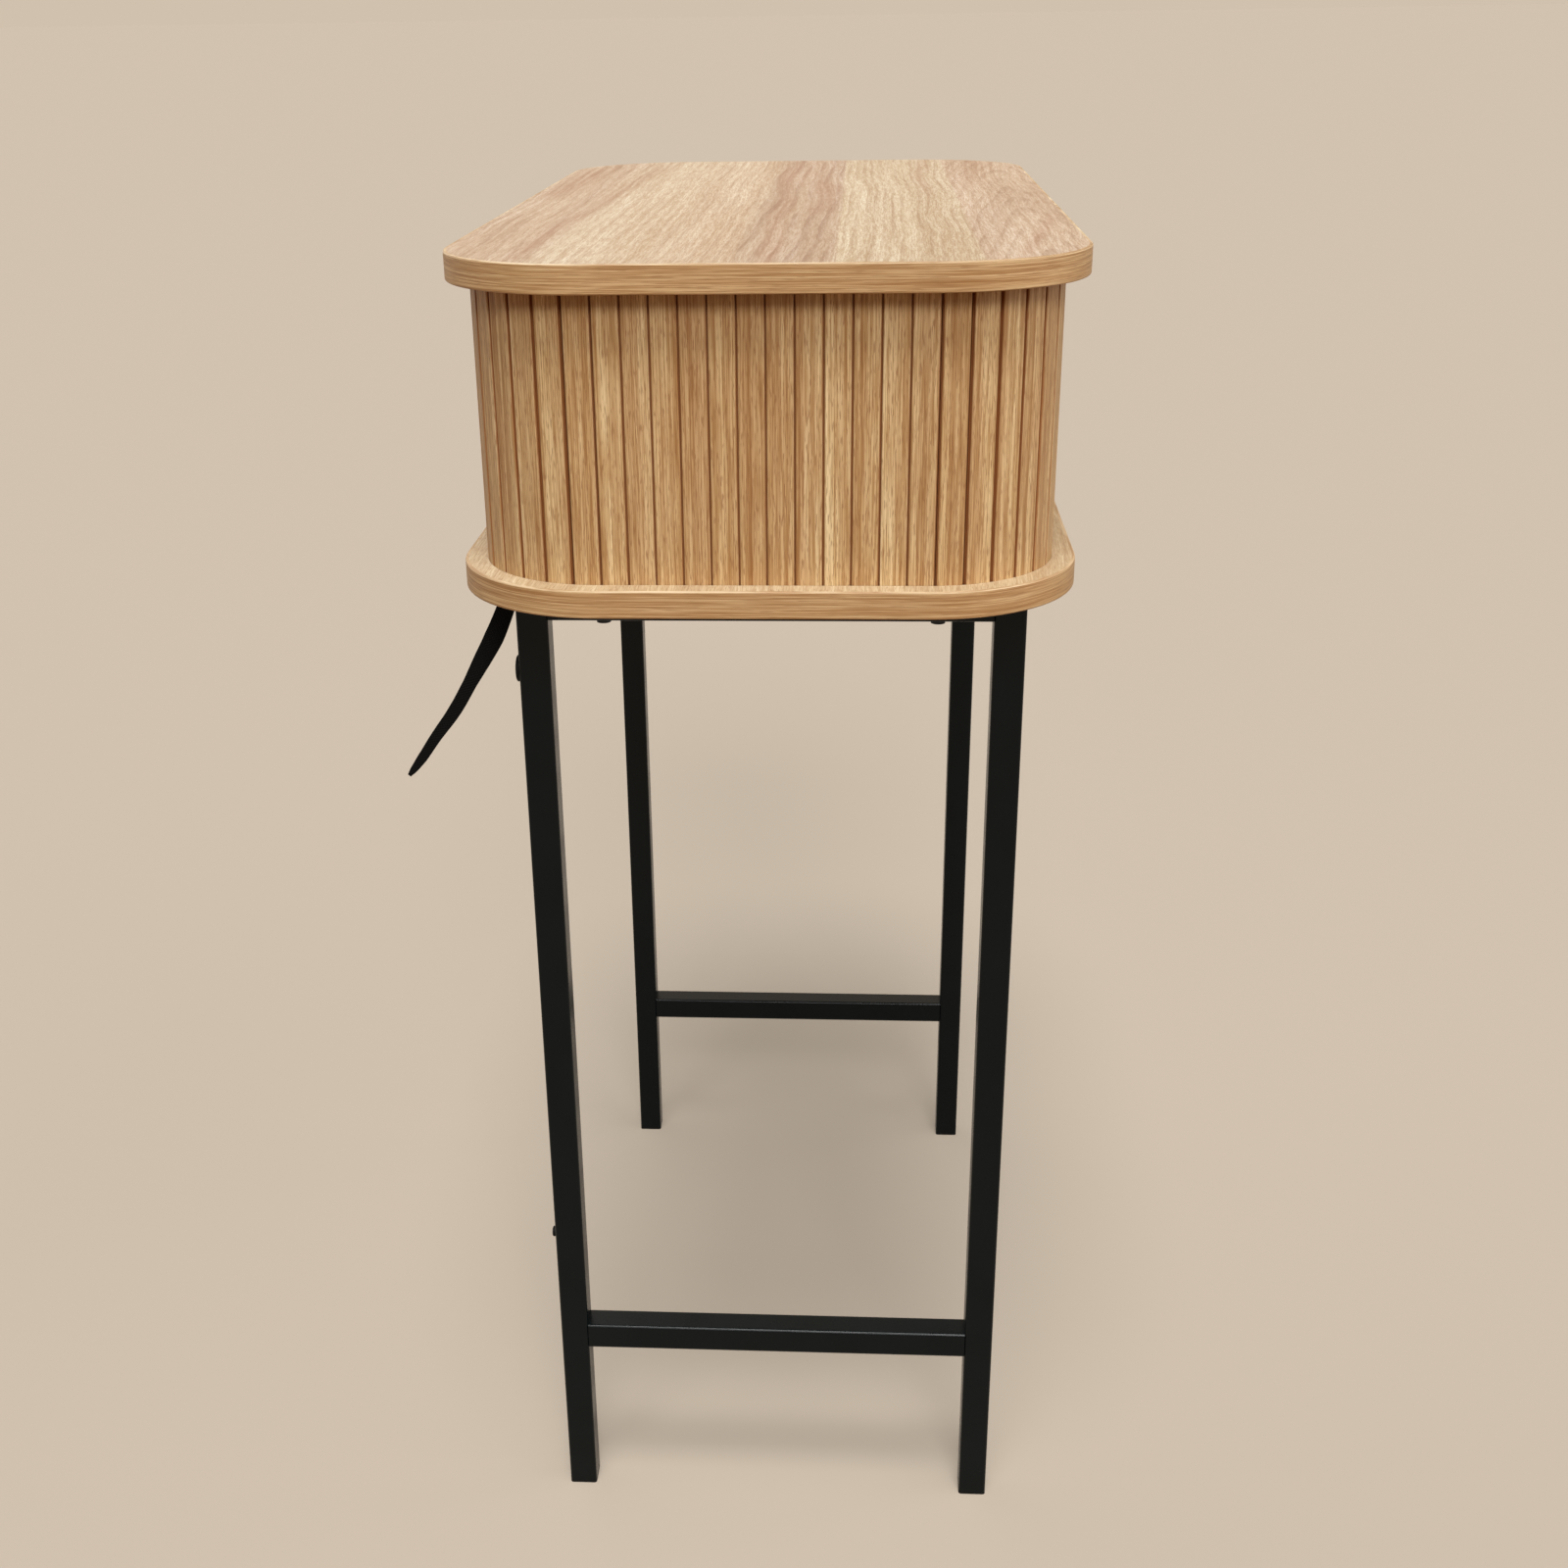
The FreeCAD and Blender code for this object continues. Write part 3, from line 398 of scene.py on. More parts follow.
# edge band: the grain runs round the board, so only z is drawn fine; its upper face is painted paler, a
# painted highlight along the top edge
bandLayers = {
    "Clouds": {"waves": (3.0, 3.0, 240.0), "detail": 2.0, "range": (0.3, 0.7), "seed": 0.0},
    "Streaks": {"waves": (7.0, 7.0, 1000.0), "detail": 3.0, "range": (0.3, 0.7), "seed": 4.0},
    "Lines": {"waves": (22.0, 22.0, 2100.0), "detail": 2.0, "range": (0.34, 0.66), "seed": 9.0},
    "Pores": {"waves": (80.0, 80.0, 2200.0), "detail": 1.0, "range": (0.56, 0.70), "seed": 14.0},
}
bandLook = woodLook | {
    "Clouds": display(244, 238, 230), "Streaks": display(232, 219, 205), "Lines": display(208, 188, 166),
    "pore": 0.50, "poreColour": display(150, 108, 70),
    # the paler colour is a painted highlight on the band's top face
    "side": display(218, 187, 141), "upper": display(224, 207, 176),
    "highlightFrom": 0.0010, "highlightFull": 0.0003, "clear": 0.0010,  # below the upper face, and above it
}


def makeBandOak():
    material, tree, shader = newMaterial("bandOak", woodShader)
    place = surfacePlace(tree)
    z = place[2]
    fibres = {label: fibreMask(tree, place, layer, layer["seed"]) for label, layer in bandLayers.items()}
    upper = 0.0
    for name in ("base_edge_band", "top_edge_band"):
        face = float(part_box(name)[1][2])
        near = remap(tree, z, face - bandLook["highlightFrom"], face - bandLook["highlightFull"])
        below = calc(tree, "LESS_THAN", z, face + bandLook["clear"])
        upper = calc(tree, "MULTIPLY_ADD", near, below, upper)
    # painted highlight: the top millimetre of each band takes the paler colour
    colour = mixColour(tree, upper, bandLook["side"], bandLook["upper"])
    woodSurface(tree, shader, colour, fibres, bandLook)
    return material


# slat veneer: the grain runs up the slat, each slat has its own tone from 0 to 1 and its own seed,
# which turns the noises, moves it across the wood and sets its distance from the pith
slatFigure = {
    "pale": (display(231, 204, 157), display(243, 220, 173)),
    "dark": (display(203, 163, 116), display(217, 181, 132)),
    # the brown below is the board inside the veneer on a slat's sides and back, and painted groove shade on
    # its rounded front edges
    "coreAndEdgeShade": display(156, 100, 56), "bands": 0.45, "ring": 0.2,
    "seedTurn": 31.0, "seedMove": 0.61, "pithMove": 0.64, "pith": -0.01,
    "wander": 0.0008, "height": 0.008, "taper": 0.03, "spacing": 0.0042,
    "drawOut": 0.45,  # longer lines than on the boards
}
slatLook = woodLook | {
    "Clouds": display(244, 238, 230), "Streaks": display(218, 200, 180), "Lines": display(212, 193, 172),
    "pore": 0.66, "poreColour": display(150, 104, 64), "relief": 0.18,
}


def slatWood(tree, shader, along, across, tone, seed):
    turned = calc(tree, "MULTIPLY", seed, slatFigure["seedTurn"])
    moved = calc(tree, "MULTIPLY_ADD", seed, slatFigure["seedMove"], across)
    bent = placeGroup(tree, bendGroup, {
        "Along": along, "Across": moved, "Depth": seed,
        "Wander": slatFigure["wander"], "Seed": turned})["Bent"]
    rings = placeGroup(tree, ringGroup, {
        "Along": along, "Bent": bent,
        "Pith": calc(tree, "MULTIPLY_ADD", seed, slatFigure["pithMove"], slatFigure["pith"]),
        "Height": slatFigure["height"], "Taper": slatFigure["taper"], "Spacing": slatFigure["spacing"],
        "Seed": turned})
    drawnOut = calc(tree, "MULTIPLY", along, slatFigure["drawOut"])
    places = {"Across": bent, "Depth": seed, "Seed": turned}
    fibres = dict(placeGroup(tree, fibreGroup, places | {"Along": drawnOut}).items())
    fibres["Pores"] = placeGroup(tree, fibreGroup, places | {"Along": along})["Pores"]
    pale = mixColour(tree, tone, *slatFigure["pale"])
    dark = mixColour(tree, tone, *slatFigure["dark"])
    colour = mixColour(tree, ringShade(tree, rings, slatFigure), pale, dark)
    return woodSurface(tree, shader, colour, fibres, slatLook)


# the faces behind a slat's front show the brown board inside the veneer; the same brown reaches onto the
# rounded front edges as painted shade that darkens the grooves
def makeSlatOak():
    material, tree, shader = newMaterial("slatOak", woodShader)
    u, v, _ = surfacePlace(tree, "UV")
    tone, seed, coreAndEdgeShade = (addNode(tree, "ShaderNodeAttribute", attribute_name=name).outputs["Fac"]
                        for name in ("tone", "seed", "coreAndEdgeShade"))
    veneer = slatWood(tree, shader, v, u, tone, seed)
    tree.links.new(mixColour(tree, coreAndEdgeShade, veneer, slatFigure["coreAndEdgeShade"]), shader.inputs["Base Color"])
    return material


# lead rails are solid strips with the same veneer, upright grain on Object coordinates
railFigure = {"tone": 0.5, "seed": 0.37}


def makeRailOak():
    material, tree, shader = newMaterial("railOak", woodShader)
    x, y, z = surfacePlace(tree)
    slatWood(tree, shader, z, calc(tree, "ADD", x, y), railFigure["tone"], railFigure["seed"])
    return material


# base board, carcass panels and dowels: wood with its grain along one axis, 0 for x to 2 for z
panelWoods = {
    "baseOak": {"grain": 0, "pale": (218, 203, 171), "dark": (199, 177, 147), "spacing": 0.006},
    "panelOak": {"grain": 1, "pale": (222, 186, 142), "dark": (186, 146, 104), "spacing": 0.007},
    "backOak": {"grain": 0, "pale": (222, 184, 138), "dark": (182, 140, 98), "spacing": 0.008},
    "thinBoard": {"grain": 0, "pale": (206, 168, 124), "dark": (170, 130, 92), "spacing": 0.009},
    "dowelBeech": {"grain": 2, "pale": (222, 184, 138), "dark": (196, 154, 110), "spacing": 0.003},
}
panelFigure = {
    "bands": 0.5, "ring": 0.4, "ringSeed": 0.6, "fibreSeed": 2.0,
    "wander": 0.022, "pith": 0.4, "height": 0.03, "taper": 0.04,
}
panelLook = woodLook | {"rough": 0.5}


def makePanelOak(name, wood):
    material, tree, shader = newMaterial(name, woodShader)
    place = surfacePlace(tree)
    along = place[wood["grain"]]
    across = calc(tree, "ADD", *[place[axis] for axis in range(3) if axis != wood["grain"]])
    bent = placeGroup(tree, bendGroup, {
        "Along": along, "Across": across,
        "Wander": panelFigure["wander"], "Seed": panelFigure["ringSeed"]})["Bent"]
    rings = placeGroup(tree, ringGroup, {
        "Along": along, "Bent": bent, "Pith": panelFigure["pith"], "Height": panelFigure["height"],
        "Taper": panelFigure["taper"], "Spacing": wood["spacing"], "Seed": panelFigure["ringSeed"]})
    fibres = placeGroup(tree, fibreGroup, {"Along": along, "Across": bent, "Seed": panelFigure["fibreSeed"]})
    shade = ringShade(tree, rings, panelFigure)
    colour = mixColour(tree, shade, display(*wood["pale"]), display(*wood["dark"]))
    woodSurface(tree, shader, colour, fibres, panelLook)
    return material


# coats, plastic and metal share the fine skin: bumps in the finish and a slow change of gloss
skins = {
    "blackSteel": {"low": (2, 8, 10), "high": (4, 11, 13), "rough": 0.24, "roughSpread": 0.08,
                   "grain": 1100.0, "relief": 0.08, "plain": {"Specular IOR Level": 0.18}},
    "blackPlastic": {"low": (9, 9, 9), "high": (13, 13, 13), "rough": 0.55, "roughSpread": 0.10,
                     "grain": 1800.0, "relief": 0.15, "plain": {"Specular IOR Level": 0.14}},
    "blackBolt": {"low": (10, 10, 10), "high": (18, 18, 18), "rough": 0.34, "roughSpread": 0.15,
                  "grain": 900.0, "relief": 0.06, "plain": {"Specular IOR Level": 0.3}},
    "zincSteel": {"low": (190, 192, 194), "high": (214, 215, 214), "rough": 0.28, "roughSpread": 0.18,
                  "grain": 700.0, "relief": 0.05, "plain": {"Metallic": 1.0}},
}
skinDepth = 0.0002


def makeSkin(name, coat):
    material, tree, shader = newMaterial(name, coat["plain"])
    x, y, z = surfacePlace(tree)
    skin = placeGroup(tree, skinGroup, {"X": x, "Y": y, "Z": z, "Grain": coat["grain"]})
    colour = mixColour(tree, skin["Mottle"], display(*coat["low"]), display(*coat["high"]))
    tree.links.new(colour, shader.inputs["Base Color"])
    rough = calc(tree, "MULTIPLY_ADD", skin["Mottle"], coat["roughSpread"], coat["rough"])
    tree.links.new(rough, shader.inputs["Roughness"])
    setBump(tree, shader, skin["Bumps"], coat["relief"], skinDepth)
    return material


# woven goods read their UV in metres: u round the piece, v along it; a thread is painted darker where it
# dips, painted shade in the hollows of the weave
weaves = {
    "canvasCotton": {"low": (128, 92, 58), "high": (190, 154, 108), "pitch": 0.0009, "relief": 0.6,
                     "plain": {"Roughness": 0.9}},
    "strapNylon": {"low": (3, 3, 3), "high": (12, 12, 12), "pitch": 0.0011, "relief": 0.8,
                   "plain": {"Roughness": 0.7, "Specular IOR Level": 0.1}},
}
threadShadeAndRelief = {"dip": 0.5, "rise": 0.6, "depth": 0.0004}


def makeWoven(name, cloth):
    material, tree, shader = newMaterial(name, cloth["plain"])
    u, v, _ = surfacePlace(tree, "UV")
    weave = placeGroup(tree, weaveGroup, {"U": u, "V": v, "Pitch": cloth["pitch"]})
    # painted shade: the weave's height darkens the colour where a thread dips
    lit = calc(tree, "MULTIPLY_ADD", weave["Height"], threadShadeAndRelief["rise"], threadShadeAndRelief["dip"])
    tone = calc(tree, "MULTIPLY", weave["Thread"], lit)
    colour = mixColour(tree, tone, display(*cloth["low"]), display(*cloth["high"]))
    tree.links.new(colour, shader.inputs["Base Color"])
    setBump(tree, shader, weave["Height"], cloth["relief"], threadShadeAndRelief["depth"])
    return material


materials = {"boardOak": makeBoardOak(), "bandOak": makeBandOak(),
             "slatOak": makeSlatOak(), "railOak": makeRailOak()}
for make, kinds in ((makePanelOak, panelWoods), (makeSkin, skins), (makeWoven, weaves)):
    materials |= {name: make(name, numbers) for name, numbers in kinds.items()}

finishes = {
    "boardOak": ["top_board"],
    "baseOak": ["base_board"],
    "bandOak": ["top_edge_band", "base_edge_band"],
    "railOak": ["left_lead_rail", "right_lead_rail"],
    "panelOak": ["left_upright", "right_upright", "centre_divider"],
    "backOak": ["outer_back"],
    "thinBoard": ["back_panel"],
    "dowelBeech": ["dowels"],
    "blackSteel": [f"{side}_{part}" for side in ("left", "right")
                   for part in ("front_leg", "back_leg", "top_rail", "crossbar")],
    "blackPlastic": [f"{side}_{end}_leg_cap" for side in ("left", "right") for end in ("front", "back")]
                    + ["upper_leg_plug", "lower_leg_plug", "strap_bracket"],
    "blackBolt": ["rail_bolts"],
    "zincSteel": ["threaded_inserts", "cam_discs", "cam_bolts", "base_screws", "back_panel_screws",
                  "strap_screw"],
}
for finish, names in finishes.items():
    for name in names:
        nodes[name].material_slots[0].material = materials[finish]
print(f"finishes: {len(materials)} materials, {len(finishes)} of them on the frame's own nodes")


# rounded bar, seen along its length: four arcs of the given radius joined by straight sides,
# with a point just outside each arc so that the flats stay flat; sizes may be arrays, one per station
def roundedBar(width, depth, radius, steps=4, support=0.0002):
    width, depth, radius = (size.reshape(-1, 1) for size in np.broadcast_arrays(width, depth, radius))
    quarter = np.linspace(0.0, math.pi / 2, steps + 1)
    points = []
    for corner, (signA, signB) in enumerate(((-1, -1), (1, -1), (1, 1), (-1, 1))):
        angle = quarter + math.pi + corner * math.pi / 2
        a = signA * (width / 2 - radius) + radius * np.cos(angle)
        b = signB * (depth / 2 - radius) + radius * np.sin(angle)
        first, last = angle[0], angle[-1]
        a = np.hstack([a[:, :1] + support * math.sin(first), a, a[:, -1:] - support * math.sin(last)])
        b = np.hstack([b[:, :1] - support * math.cos(first), b, b[:, -1:] + support * math.cos(last)])
        points.append(np.stack([a, b], axis=-1))
    return np.concatenate(points, axis=1)


sharpAngle = math.radians(40)  # edges that turn further than this stay crisp


# closes a stack of rings, shaped (bars, stations, round, 3), into capped bars with uv in metres:
# u is the way walked round a ring, v the length given for its station
def barMesh(name, rings, lengths, material, faceValues=None):
    bars, stations, around = rings.shape[:3]
    index = np.arange(bars * stations * around).reshape(bars, stations, around)
    beside = np.roll(index, -1, axis=2)
    quads = np.stack([index[:, :-1], beside[:, :-1], beside[:, 1:], index[:, 1:]], axis=-1).reshape(-1, 4)
    bottoms, tops = index[:, 0, ::-1], index[:, -1]
    step = np.linalg.norm(np.roll(rings, -1, axis=2) - rings, axis=-1)
    start = np.cumsum(step, axis=2) - step
    end = start + step
    u = np.stack([start[:, :-1], end[:, :-1], end[:, 1:], start[:, 1:]], axis=-1)
    v = np.broadcast_to(lengths[..., None], rings.shape[:3])
    v = np.stack([v[:, :-1], v[:, :-1], v[:, 1:], v[:, 1:]], axis=-1)
    sideUv = np.stack([u, v], axis=-1).reshape(-1, 2)
    capUv = np.concatenate([np.stack([start[:, 0, ::-1], 0 * start[:, 0]], axis=-1).reshape(-1, 2),
                            np.stack([start[:, -1], 0 * start[:, -1]], axis=-1).reshape(-1, 2)])
    uv = np.concatenate([sideUv, capUv]).astype(np.float32)
    points = rings.reshape(-1, 3)
    corners = points[quads]
    volume = np.einsum("ij,ij->i", corners[:, 0] - points.mean(0),
                       np.cross(corners[:, 1] - corners[:, 0], corners[:, 3] - corners[:, 0])).sum()
    mesh = bpy.data.meshes.new(name)
    mesh.from_pydata(points.tolist(), [], quads.tolist() + bottoms.tolist() + tops.tolist())
    mesh.uv_layers.new(name="uv").data.foreach_set("uv", uv.ravel())
    for label, values in (faceValues or {}).items():
        attribute = mesh.attributes.new(label, "FLOAT", "FACE")
        attribute.data.foreach_set("value", values.astype(np.float32).ravel())
    if volume < 0:  # the rings run the other way round
        mesh.flip_normals()
    mesh.shade_smooth()
    mesh.set_sharp_from_angle(angle=sharpAngle)
    mesh.materials.append(material)
    piece = bpy.data.objects.new(name, mesh)
    bpy.context.scene.collection.objects.link(piece)
    return piece


# the camera stands at the picture's own viewpoint: pixels of the 1600 px frame, metres and radians,
# and the sensor in millimetres
viewpoint = {
    "frame": 1600, "focal": 1953.9, "centre": (754.9, 878.8), "sensor": 36.0,
    "place": (-1.40055, -0.05437, 1.03392), "yaw": -0.06582, "pitch": 0.42063, "roll": -0.01573,
}


def makeCamera():
    yaw, pitch, roll = viewpoint["yaw"], viewpoint["pitch"], viewpoint["roll"]
    ahead = np.array([math.cos(yaw) * math.cos(pitch), -math.sin(yaw) * math.cos(pitch), -math.sin(pitch)])
    right = np.array([-math.sin(yaw), -math.cos(yaw), 0.0])
    up = np.array([math.cos(yaw) * math.sin(pitch), -math.sin(yaw) * math.sin(pitch), math.cos(pitch)])
    turnedRight = right * math.cos(roll) + up * math.sin(roll)
    turnedUp = up * math.cos(roll) - right * math.sin(roll)
    data = bpy.data.cameras.new("camera")
    data.sensor_width = viewpoint["sensor"]
    data.lens = viewpoint["focal"] * viewpoint["sensor"] / viewpoint["frame"]
    data.shift_x = 0.5 - viewpoint["centre"][0] / viewpoint["frame"]
    data.shift_y = viewpoint["centre"][1] / viewpoint["frame"] - 0.5
    camera = bpy.data.objects.new("camera", data)
    matrix = np.eye(4)
    matrix[:3] = np.column_stack([turnedRight, turnedUp, -ahead, viewpoint["place"]])
    camera.matrix_world = Matrix(matrix.tolist())
    bpy.context.scene.collection.objects.link(camera)
    bpy.context.scene.camera = camera
    print(f"camera: {data.lens:.1f} mm lens, shift {data.shift_x:.3f}, {data.shift_y:.3f}")


makeCamera()

# wall strap: a flat webbing that hangs out behind the left back leg and narrows to a point; metres,
# with the route back and down from the bracket, and the widths at shares of the length
wallStrap = {
    "plane": -0.232, "back": 0.157, "top": 0.716,
    "route": [(0.0001, 0.001), (0.0120, 0.030), (0.0209, 0.050), (0.0297, 0.065), (0.0390, 0.081),
              (0.0506, 0.101), (0.0649, 0.119), (0.0755, 0.135), (0.0845, 0.146)],
    "widths": [(0.0, 0.0100), (0.19, 0.0116), (0.32, 0.0128), (0.42, 0.0115), (0.53, 0.0092), (0.66, 0.0088),
               (0.80, 0.0074), (0.91, 0.0066), (0.97, 0.0048), (1.0, 0.0026)],
    "thickness": 0.0014, "length": 0.168, "breadth": 0.0125,
    "roundShare": 0.4, "arcSteps": 3, "support": 0.00005, "lineSteps": 16,
}


# points along the smooth line that the route's control points draw
def splineLine(route, lineSteps):
    curve = bpy.data.curves.new("route", "CURVE")
    curve.dimensions = "3D"
    spline = curve.splines.new("NURBS")
    spline.points.add(len(route) - 1)
    spline.points.foreach_set("co", np.column_stack([route, np.ones(len(route))]).ravel())
    spline.order_u = 3
    spline.use_endpoint_u = True
    spline.resolution_u = lineSteps
    holder = bpy.data.objects.new("route", curve)
    line = bpy.data.meshes.new_from_object(holder)
    points = np.empty(len(line.vertices) * 3)
    line.vertices.foreach_get("co", points)
    bpy.data.objects.remove(holder)
    bpy.data.curves.remove(curve)
    bpy.data.meshes.remove(line)
    return points.reshape(-1, 3)


# the strap's section, width by thickness, carried along the line; width lies in the plane of the route
def makeStrap():
    route = np.array([(wallStrap["plane"], wallStrap["back"] + back, wallStrap["top"] - down)
                      for back, down in wallStrap["route"]])
    line = splineLine(route, wallStrap["lineSteps"])
    reach = np.concatenate([[0.0], np.cumsum(np.linalg.norm(np.diff(line, axis=0), axis=1))])
    ahead = np.gradient(line, axis=0)
    ahead /= np.linalg.norm(ahead, axis=1, keepdims=True)
    thick = np.array([1.0, 0.0, 0.0])
    wide = np.cross(ahead, thick)
    width = np.interp(reach / reach[-1], *np.array(wallStrap["widths"]).T)
    radius = np.minimum(wallStrap["thickness"], width) * wallStrap["roundShare"]
    section = roundedBar(width, wallStrap["thickness"], radius, wallStrap["arcSteps"], wallStrap["support"])
    rings = line[:, None] + section[..., :1] * wide[:, None] + section[..., 1:] * thick
    piece = barMesh("wall_strap_webbing", rings[None], reach[None], materials["strapNylon"])
    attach(piece, "desk")
    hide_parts("wall_strap")
    print(f"strap: {reach[-1] * 1000:.0f} mm long")


makeStrap()

# tambour: slats glued to canvas, which run in a track round the body; sizes in metres, twist in radians;
# each slat departs at random from the plain one by up to the spreads
tambour = {
    "pitch": 0.0158, "width": 0.0150, "thickness": 0.0050, "round": 0.0009, "corner": 0.074,
    "groove": 0.0022, "backGap": 0.00005, "stations": 3,
    "leadEdge": 0.0273, "canvasLead": 0.0183, "doorSlats": 15, "endSlats": 29, "foldHeight": 0.8,
    "widthSpread": 0.00015, "proudSpread": 0.00012, "twistSpread": 0.006, "seed": 41, "rightSeed": 500,
}
halfLength = -float(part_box("left_end_slats")[0][0])
halfDepth = float(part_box("left_end_slats")[1][1])
trackRadius = tambour["corner"] - tambour["thickness"]
frontRun = halfLength - tambour["corner"]
endRun = 2 * (halfDepth - tambour["corner"])
cornerRun = trackRadius * math.pi / 2


# the track line, walked from the middle of the front: straight, quarter arc, straight, quarter arc, straight;
# gives the place on the canvas side, the direction ahead and the direction out of the body
def trackPlace(walked, side):
    first = np.clip((walked - frontRun) / trackRadius, 0.0, math.pi / 2)
    second = np.clip((walked - frontRun - cornerRun - endRun) / trackRadius, 0.0, math.pi / 2)
    endPart = np.clip(walked - frontRun - cornerRun, 0.0, endRun)
    backPart = np.maximum(walked - frontRun - 2 * cornerRun - endRun, 0.0)
    x = -np.minimum(walked, frontRun) - trackRadius * (np.sin(first) - 1 + np.cos(second)) + backPart
    y = -halfDepth + tambour["thickness"] + trackRadius * (1 - np.cos(first) + np.sin(second)) + endPart
    turn = first + second
    ahead = np.stack([-np.cos(turn) * side, np.sin(turn), 0 * turn], axis=-1)
    out = np.stack([-np.sin(turn) * side, -np.cos(turn), 0 * turn], axis=-1)
    return np.stack([x * side, y, 0 * turn], axis=-1), ahead, out


# a slat's outline, seen along its length: a plain back, shoulders close to the next slat,
# and a narrower front with rounded edges; depth is measured from the back
def slatOutline(width):
    half = width / 2
    wide = np.full_like(width, tambour["pitch"] / 2 - tambour["backGap"])
    corners = np.zeros((len(width), 6, 2))
    corners[..., 0] = np.column_stack([-wide, wide, wide, half, -half, -wide])
    corners[:, 2:, 1] = tambour["thickness"] - tambour["groove"]
    bar = roundedBar(width, tambour["thickness"], tambour["round"])
    front = bar[:, bar.shape[1] // 2:] + (0.0, tambour["thickness"] / 2)
    return np.concatenate([corners[:, :4], front, corners[:, 4:]], axis=1)


# slats: one such outline stood up at each place of the track, a little turned and set back; the brown weight
# is 0 on a slat's front, rises over its rounded edges as painted shade for the grooves, and is 1 on the faces
# further back than those edges
def makeSlats(name, side, first, count):
    draw = np.random.default_rng(tambour["seed"] + first + (0 if side > 0 else tambour["rightSeed"]))
    low, high = (float(corner[2]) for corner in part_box(name))
    middles = tambour["leadEdge"] + (first + np.arange(count) + 0.5) * tambour["pitch"]
    place, ahead, out = trackPlace(middles, side)
    width = tambour["width"] + draw.uniform(-1, 1, count) * tambour["widthSpread"]
    twist = draw.uniform(-1, 1, count) * tambour["twistSpread"]
    proud = draw.uniform(-1, 0, count) * tambour["proudSpread"]
    section = slatOutline(width) + np.stack([0 * proud, proud], axis=-1)[:, None]
    wide = ahead * np.cos(twist)[:, None] + out * np.sin(twist)[:, None]
    deep = out * np.cos(twist)[:, None] - ahead * np.sin(twist)[:, None]
    flat = place[:, None] + section[..., :1] * wide[:, None] + section[..., 1:] * deep[:, None]
    heights = np.linspace(low, high, tambour["stations"])
    rings = np.repeat(flat[:, None], len(heights), axis=1)
    rings[..., 2] = heights[None, :, None]
    around = section.shape[1]
    faceDepth = (section + np.roll(section, -1, axis=1))[..., 1] / 2
    # painted shade: the rounded front edges take part of the brown, darkening the grooves between slats
    behind = np.clip((tambour["thickness"] + proud[:, None] - faceDepth) / tambour["round"], 0, 1)
    sides = np.repeat(behind[:, None], len(heights) - 1, axis=1).ravel()
    coreAndEdgeShade = np.concatenate([sides, np.ones(2 * count)])

    def perSlat(values):
        return np.concatenate([np.repeat(values, around * (len(heights) - 1)), values, values])

    tone = perSlat(draw.uniform(0, 1, count))
    seed = perSlat(draw.uniform(0, 1, count))
    lengths = np.repeat(heights[None], count, axis=0)
    piece = barMesh(name.replace("slats", "slat_set"), rings, lengths, materials["slatOak"],
                    {"tone": tone, "seed": seed, "coreAndEdgeShade": coreAndEdgeShade})
    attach(piece, "desk")
    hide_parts(name)
    return piece


# canvas: a thin strip stood on edge and carried along the back of the slats
canvasStrip = {"thickness": 0.001, "stations": 97, "roundShare": 0.4, "arcSteps": 2, "support": 0.0001}


def makeCanvas(name, side, start, end):
    low, high = (float(corner[2]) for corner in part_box(name))
    walked = np.linspace(start, end, canvasStrip["stations"])
    place, _, out = trackPlace(walked, side)
    thickness = canvasStrip["thickness"]
    section = roundedBar(high - low, thickness, thickness * canvasStrip["roundShare"],
                         canvasStrip["arcSteps"], canvasStrip["support"])
    lift = np.array([0.0, 0.0, 1.0])
    centre = place - out * thickness / 2 + lift * (low + high) / 2
    rings = centre[:, None] + section[..., :1] * lift + section[..., 1:] * out[:, None]
    piece = barMesh(name.replace("canvas", "backing"), rings[None], walked[None], materials["canvasCotton"])
    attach(piece, "desk")
    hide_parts(name)
    return piece


# each curtain's door and end slats and canvas; the door's pieces get meshes of their own.
# On the real desk the front slats fold up against the corner as the door slides, to follow its lead rail
def makeDoor(handed, side):
    doorEnd = tambour["leadEdge"] + tambour["doorSlats"] * tambour["pitch"]
    tail = doorEnd + tambour["endSlats"] * tambour["pitch"]
    doorSlats = makeSlats(f"{handed}_door_slats", side, 0, tambour["doorSlats"])
    makeSlats(f"{handed}_end_slats", side, tambour["doorSlats"], tambour["endSlats"])
    doorCanvas = makeCanvas(f"{handed}_door_canvas", side, tambour["canvasLead"], doorEnd)
    makeCanvas(f"{handed}_end_canvas", side, doorEnd, tail)
    for piece in (doorSlats, doorCanvas):
        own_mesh(piece)
    print(f"{handed} curtain: {tambour['doorSlats'] + tambour['endSlats']} slats")


makeDoor("left", 1)
makeDoor("right", -1)

# studio: a wide pale floor, an even sky and four soft suns, each with its strength, then height, turn and
# width in degrees; the floor looks pale and throws back a browner light, the bounce
studio = {
    "paper": (208, 193, 174), "floor": (144, 133, 120), "bounce": (116, 84, 58), "glow": 0.36,
    "floorSize": 400.0, "sky": 0.10,
    "suns": {"highLight": (2.62, 72.5, 0.0, 22.0), "lowLight": (1.52, 37.0, -6.0, 22.0),
             "sideLight": (1.40, 24.0, -75.0, 70.0), "fillLight": (0.80, 26.0, 125.0, 80.0)},
}


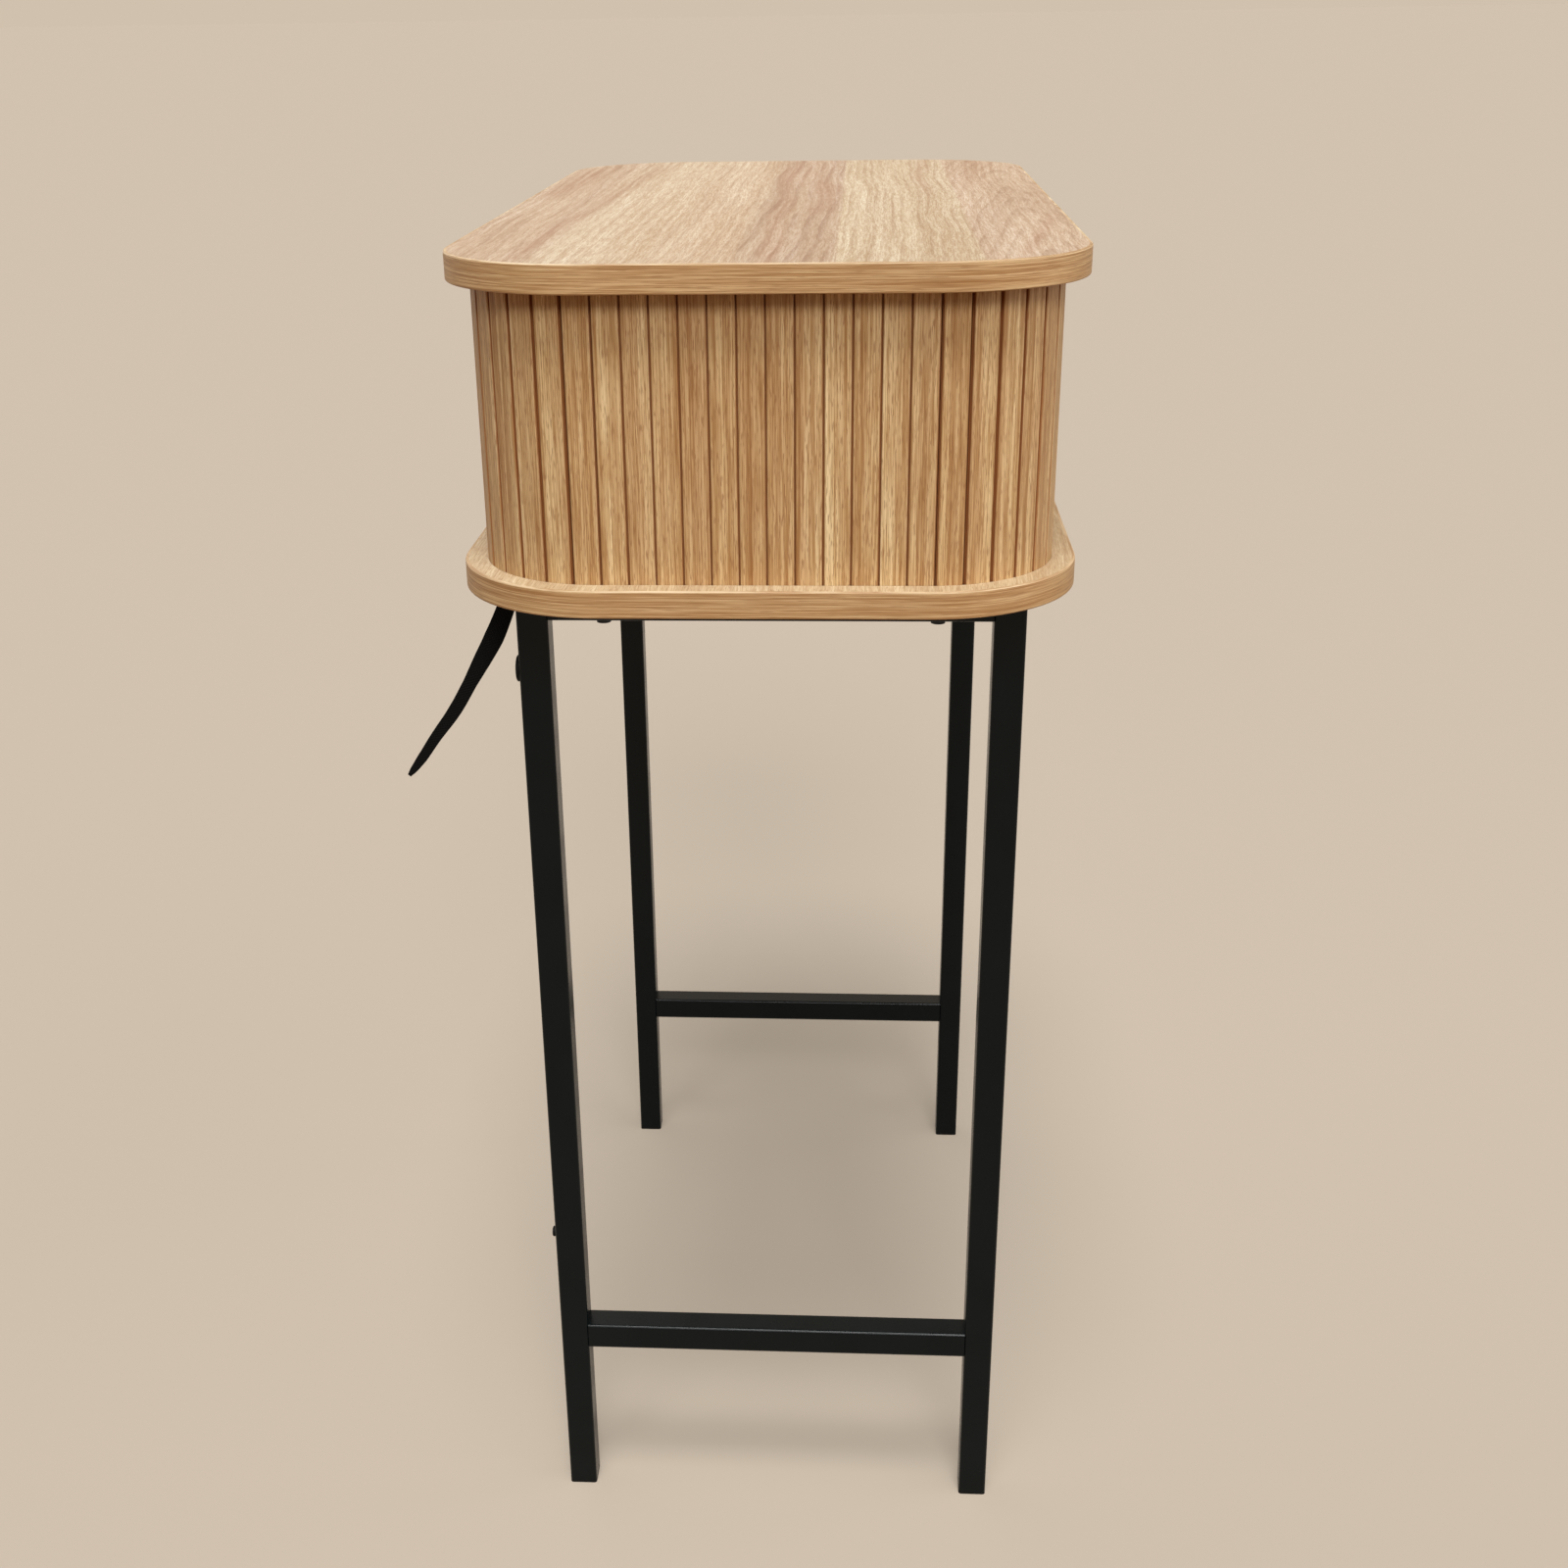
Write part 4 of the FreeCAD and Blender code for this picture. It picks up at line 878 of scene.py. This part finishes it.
# what the eye sees of the stage: camera, glossy and transmitted rays
def seenRays(tree):
    path = addNode(tree, "ShaderNodeLightPath").outputs
    direct = calc(tree, "MAXIMUM", path["Is Camera Ray"], path["Is Glossy Ray"])
    return calc(tree, "MAXIMUM", direct, path["Is Transmission Ray"])


def makeFloor():
    half = studio["floorSize"] / 2
    corners = [(-half, -half, 0), (half, -half, 0), (half, half, 0), (-half, half, 0)]
    mesh = bpy.data.meshes.new("floor")
    mesh.from_pydata(corners, [], [(0, 1, 2, 3)])
    plain = {"Roughness": 1.0, "Specular IOR Level": 0.0, "Emission Color": display(*studio["paper"])}
    material, tree, shader = newMaterial("floorPaper", plain)
    seen = seenRays(tree)
    colour = mixColour(tree, seen, display(*studio["bounce"]), display(*studio["floor"]))
    tree.links.new(colour, shader.inputs["Base Color"])
    glow = calc(tree, "MULTIPLY", seen, studio["glow"])  # a paler floor with no more light on the desk
    tree.links.new(glow, shader.inputs["Emission Strength"])
    mesh.materials.append(material)
    floor = bpy.data.objects.new("floor", mesh)
    bpy.context.scene.collection.objects.link(floor)


# turn is measured from the picture's viewpoint towards its left
def makeSun(name, strength, height, turn, soft):
    data = bpy.data.lights.new(name, "SUN")
    data.energy = strength
    data.angle = math.radians(soft)
    lamp = bpy.data.objects.new(name, data)
    lamp.rotation_euler = (0.0, math.radians(height - 90.0), math.radians(-turn))
    bpy.context.scene.collection.objects.link(lamp)


# the paper colour is what camera, glossy and transmitted rays see; all other rays get the even sky
def makeSky():
    world = bpy.data.worlds.new("sky")
    world.use_nodes = True
    tree = world.node_tree
    tree.nodes.clear()

    def backdrop(colour, strength):
        return addNode(tree, "ShaderNodeBackground", {"Color": colour, "Strength": strength}).outputs[0]

    even, paper = backdrop(white, studio["sky"]), backdrop(display(*studio["paper"]), 1.0)
    mixed = addNode(tree, "ShaderNodeMixShader", {0: seenRays(tree), 1: even, 2: paper}).outputs[0]
    addNode(tree, "ShaderNodeOutputWorld", {0: mixed})
    bpy.context.scene.world = world


makeFloor()
makeSky()
for name, numbers in studio["suns"].items():
    makeSun(name, *numbers)
bpy.context.scene.view_settings.view_transform = "Standard"
print(f"studio: floor, sky and {len(studio['suns'])} suns")
